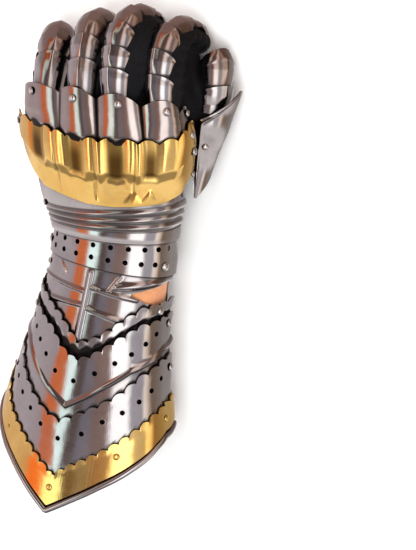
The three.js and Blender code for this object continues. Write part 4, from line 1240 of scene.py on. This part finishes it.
def floor():
    mesh = bpy.data.meshes.new("floor")
    s = FLOOR_HALF
    mesh.from_pydata([(-s, -s, 0), (s, -s, 0), (s, s, 0), (-s, s, 0)], [], [(0, 1, 2, 3)])
    obj = bpy.data.objects.new("floor", mesh)
    bpy.context.scene.collection.objects.link(obj)
    mat, shader, g = new_material("floor_white")
    g.fill(shader, {"Base Color": (0.90, 0.90, 0.90, 1), "Roughness": 0.9, "Specular IOR Level": 0.1})
    mesh.materials.append(mat)
    obj.visible_glossy = False


# Brightness and colour round the studio, by the angle round the arm from straight up, plus to the thumb side
STUDIO = [
    (-180, (0.66, 0.60, 0.62)),
    (-66, (0.70, 0.63, 0.66)),
    (-50, (0.60, 0.52, 0.53)),
    (-47, (1.05, 0.27, 0.09)),
    (-34, (1.05, 0.29, 0.10)),
    (-32, (1.5, 1.95, 1.9)),
    (-21, (1.5, 1.9, 1.8)),
    (-18, (0.16, 0.11, 0.10)),
    (-11, (0.18, 0.13, 0.12)),
    (-8, (0.30, 0.29, 0.34)),
    (0, (0.34, 0.31, 0.34)),
    (4, (0.36, 0.25, 0.22)),
    (18, (0.42, 0.30, 0.26)),
    (24, (2.2, 2.25, 2.25)),
    (44, (2.2, 2.25, 2.2)),
    (51, (0.66, 0.65, 0.70)),
    (70, (0.60, 0.58, 0.62)),
    (76, (1.5, 1.4, 1.25)),
    (84, (1.2, 1.0, 0.8)),
    (95, (0.3, 0.22, 0.16)),
    (180, (0.5, 0.5, 0.5)),
]
# Brightness along the arm's direction, from the cuff side (-1) to the finger side (1)
STUDIO_ALONG = [(-1.0, (0.30, 0.29, 0.28)), (-0.68, (0.40, 0.38, 0.36)), (-0.52, (1.0, 0.97, 0.95)),
                (0.10, (1.0, 0.97, 0.95)), (0.30, (0.60, 0.54, 0.51)), (0.62, (0.58, 0.45, 0.39)),
                (1.0, (0.54, 0.40, 0.34))]
# What stands low towards the cuff
STUDIO_LOW = (0.40, 0.39, 0.385)
STUDIO_STRENGTH = 2.4
# Name, place, power
LAMPS = [("soft_top", (0.5, -0.4, 1.6), 17), ("soft_side", (-0.6, 0.9, 1.4), 14)]


def studio():
    world = bpy.data.worlds.new("studio")
    bpy.context.scene.world = world
    world.use_nodes = True
    g = Graph(world.node_tree)
    parts = world.node_tree.nodes.new("ShaderNodeSeparateXYZ")
    g.fill(parts, {0: g.node("ShaderNodeTexCoord", "Generated", {})})
    angle = g.calc("ARCTAN2", parts.outputs["X"], parts.outputs["Z"])
    share = g.calc("ADD", g.calc("MULTIPLY", angle, 1 / (2 * pi)), 0.5)
    stops = [((a + 180) / 360, tuple(c / STUDIO_STRENGTH for c in colour)) for a, colour in STUDIO]
    height = g.calc("ADD", g.calc("MULTIPLY", parts.outputs["Y"], 0.5), 0.5)
    fall = g.ramp([((y + 1) / 2, colour) for y, colour in STUDIO_ALONG], height)
    low = g.ramp([(0.285, (1, 1, 1)), (0.325, (0, 0, 0))], height)
    colour = g.mix(1.0, g.mix(low, g.ramp(stops, share), STUDIO_LOW), fall, "MULTIPLY")
    g.fill(world.node_tree.nodes["Background"], {"Color": colour, "Strength": STUDIO_STRENGTH})


def lamps():
    for name, at, power in LAMPS:
        data = bpy.data.lights.new(name, "AREA")
        data.shape = "DISK"
        data.size = 1.4
        data.energy = power
        data.color = (0.90, 0.97, 1.0)
        obj = bpy.data.objects.new(name, data)
        bpy.context.scene.collection.objects.link(obj)
        obj.location = at
        obj.rotation_euler = (-Vector(at)).to_track_quat("-Z", "Y").to_euler()
        obj.visible_glossy = False


camera()
floor()
studio()
lamps()
bpy.context.scene.view_settings.view_transform = "Standard"
bpy.context.scene.view_settings.look = "None"
bpy.context.scene.view_settings.exposure = 0.3
bpy.context.view_layer.update()
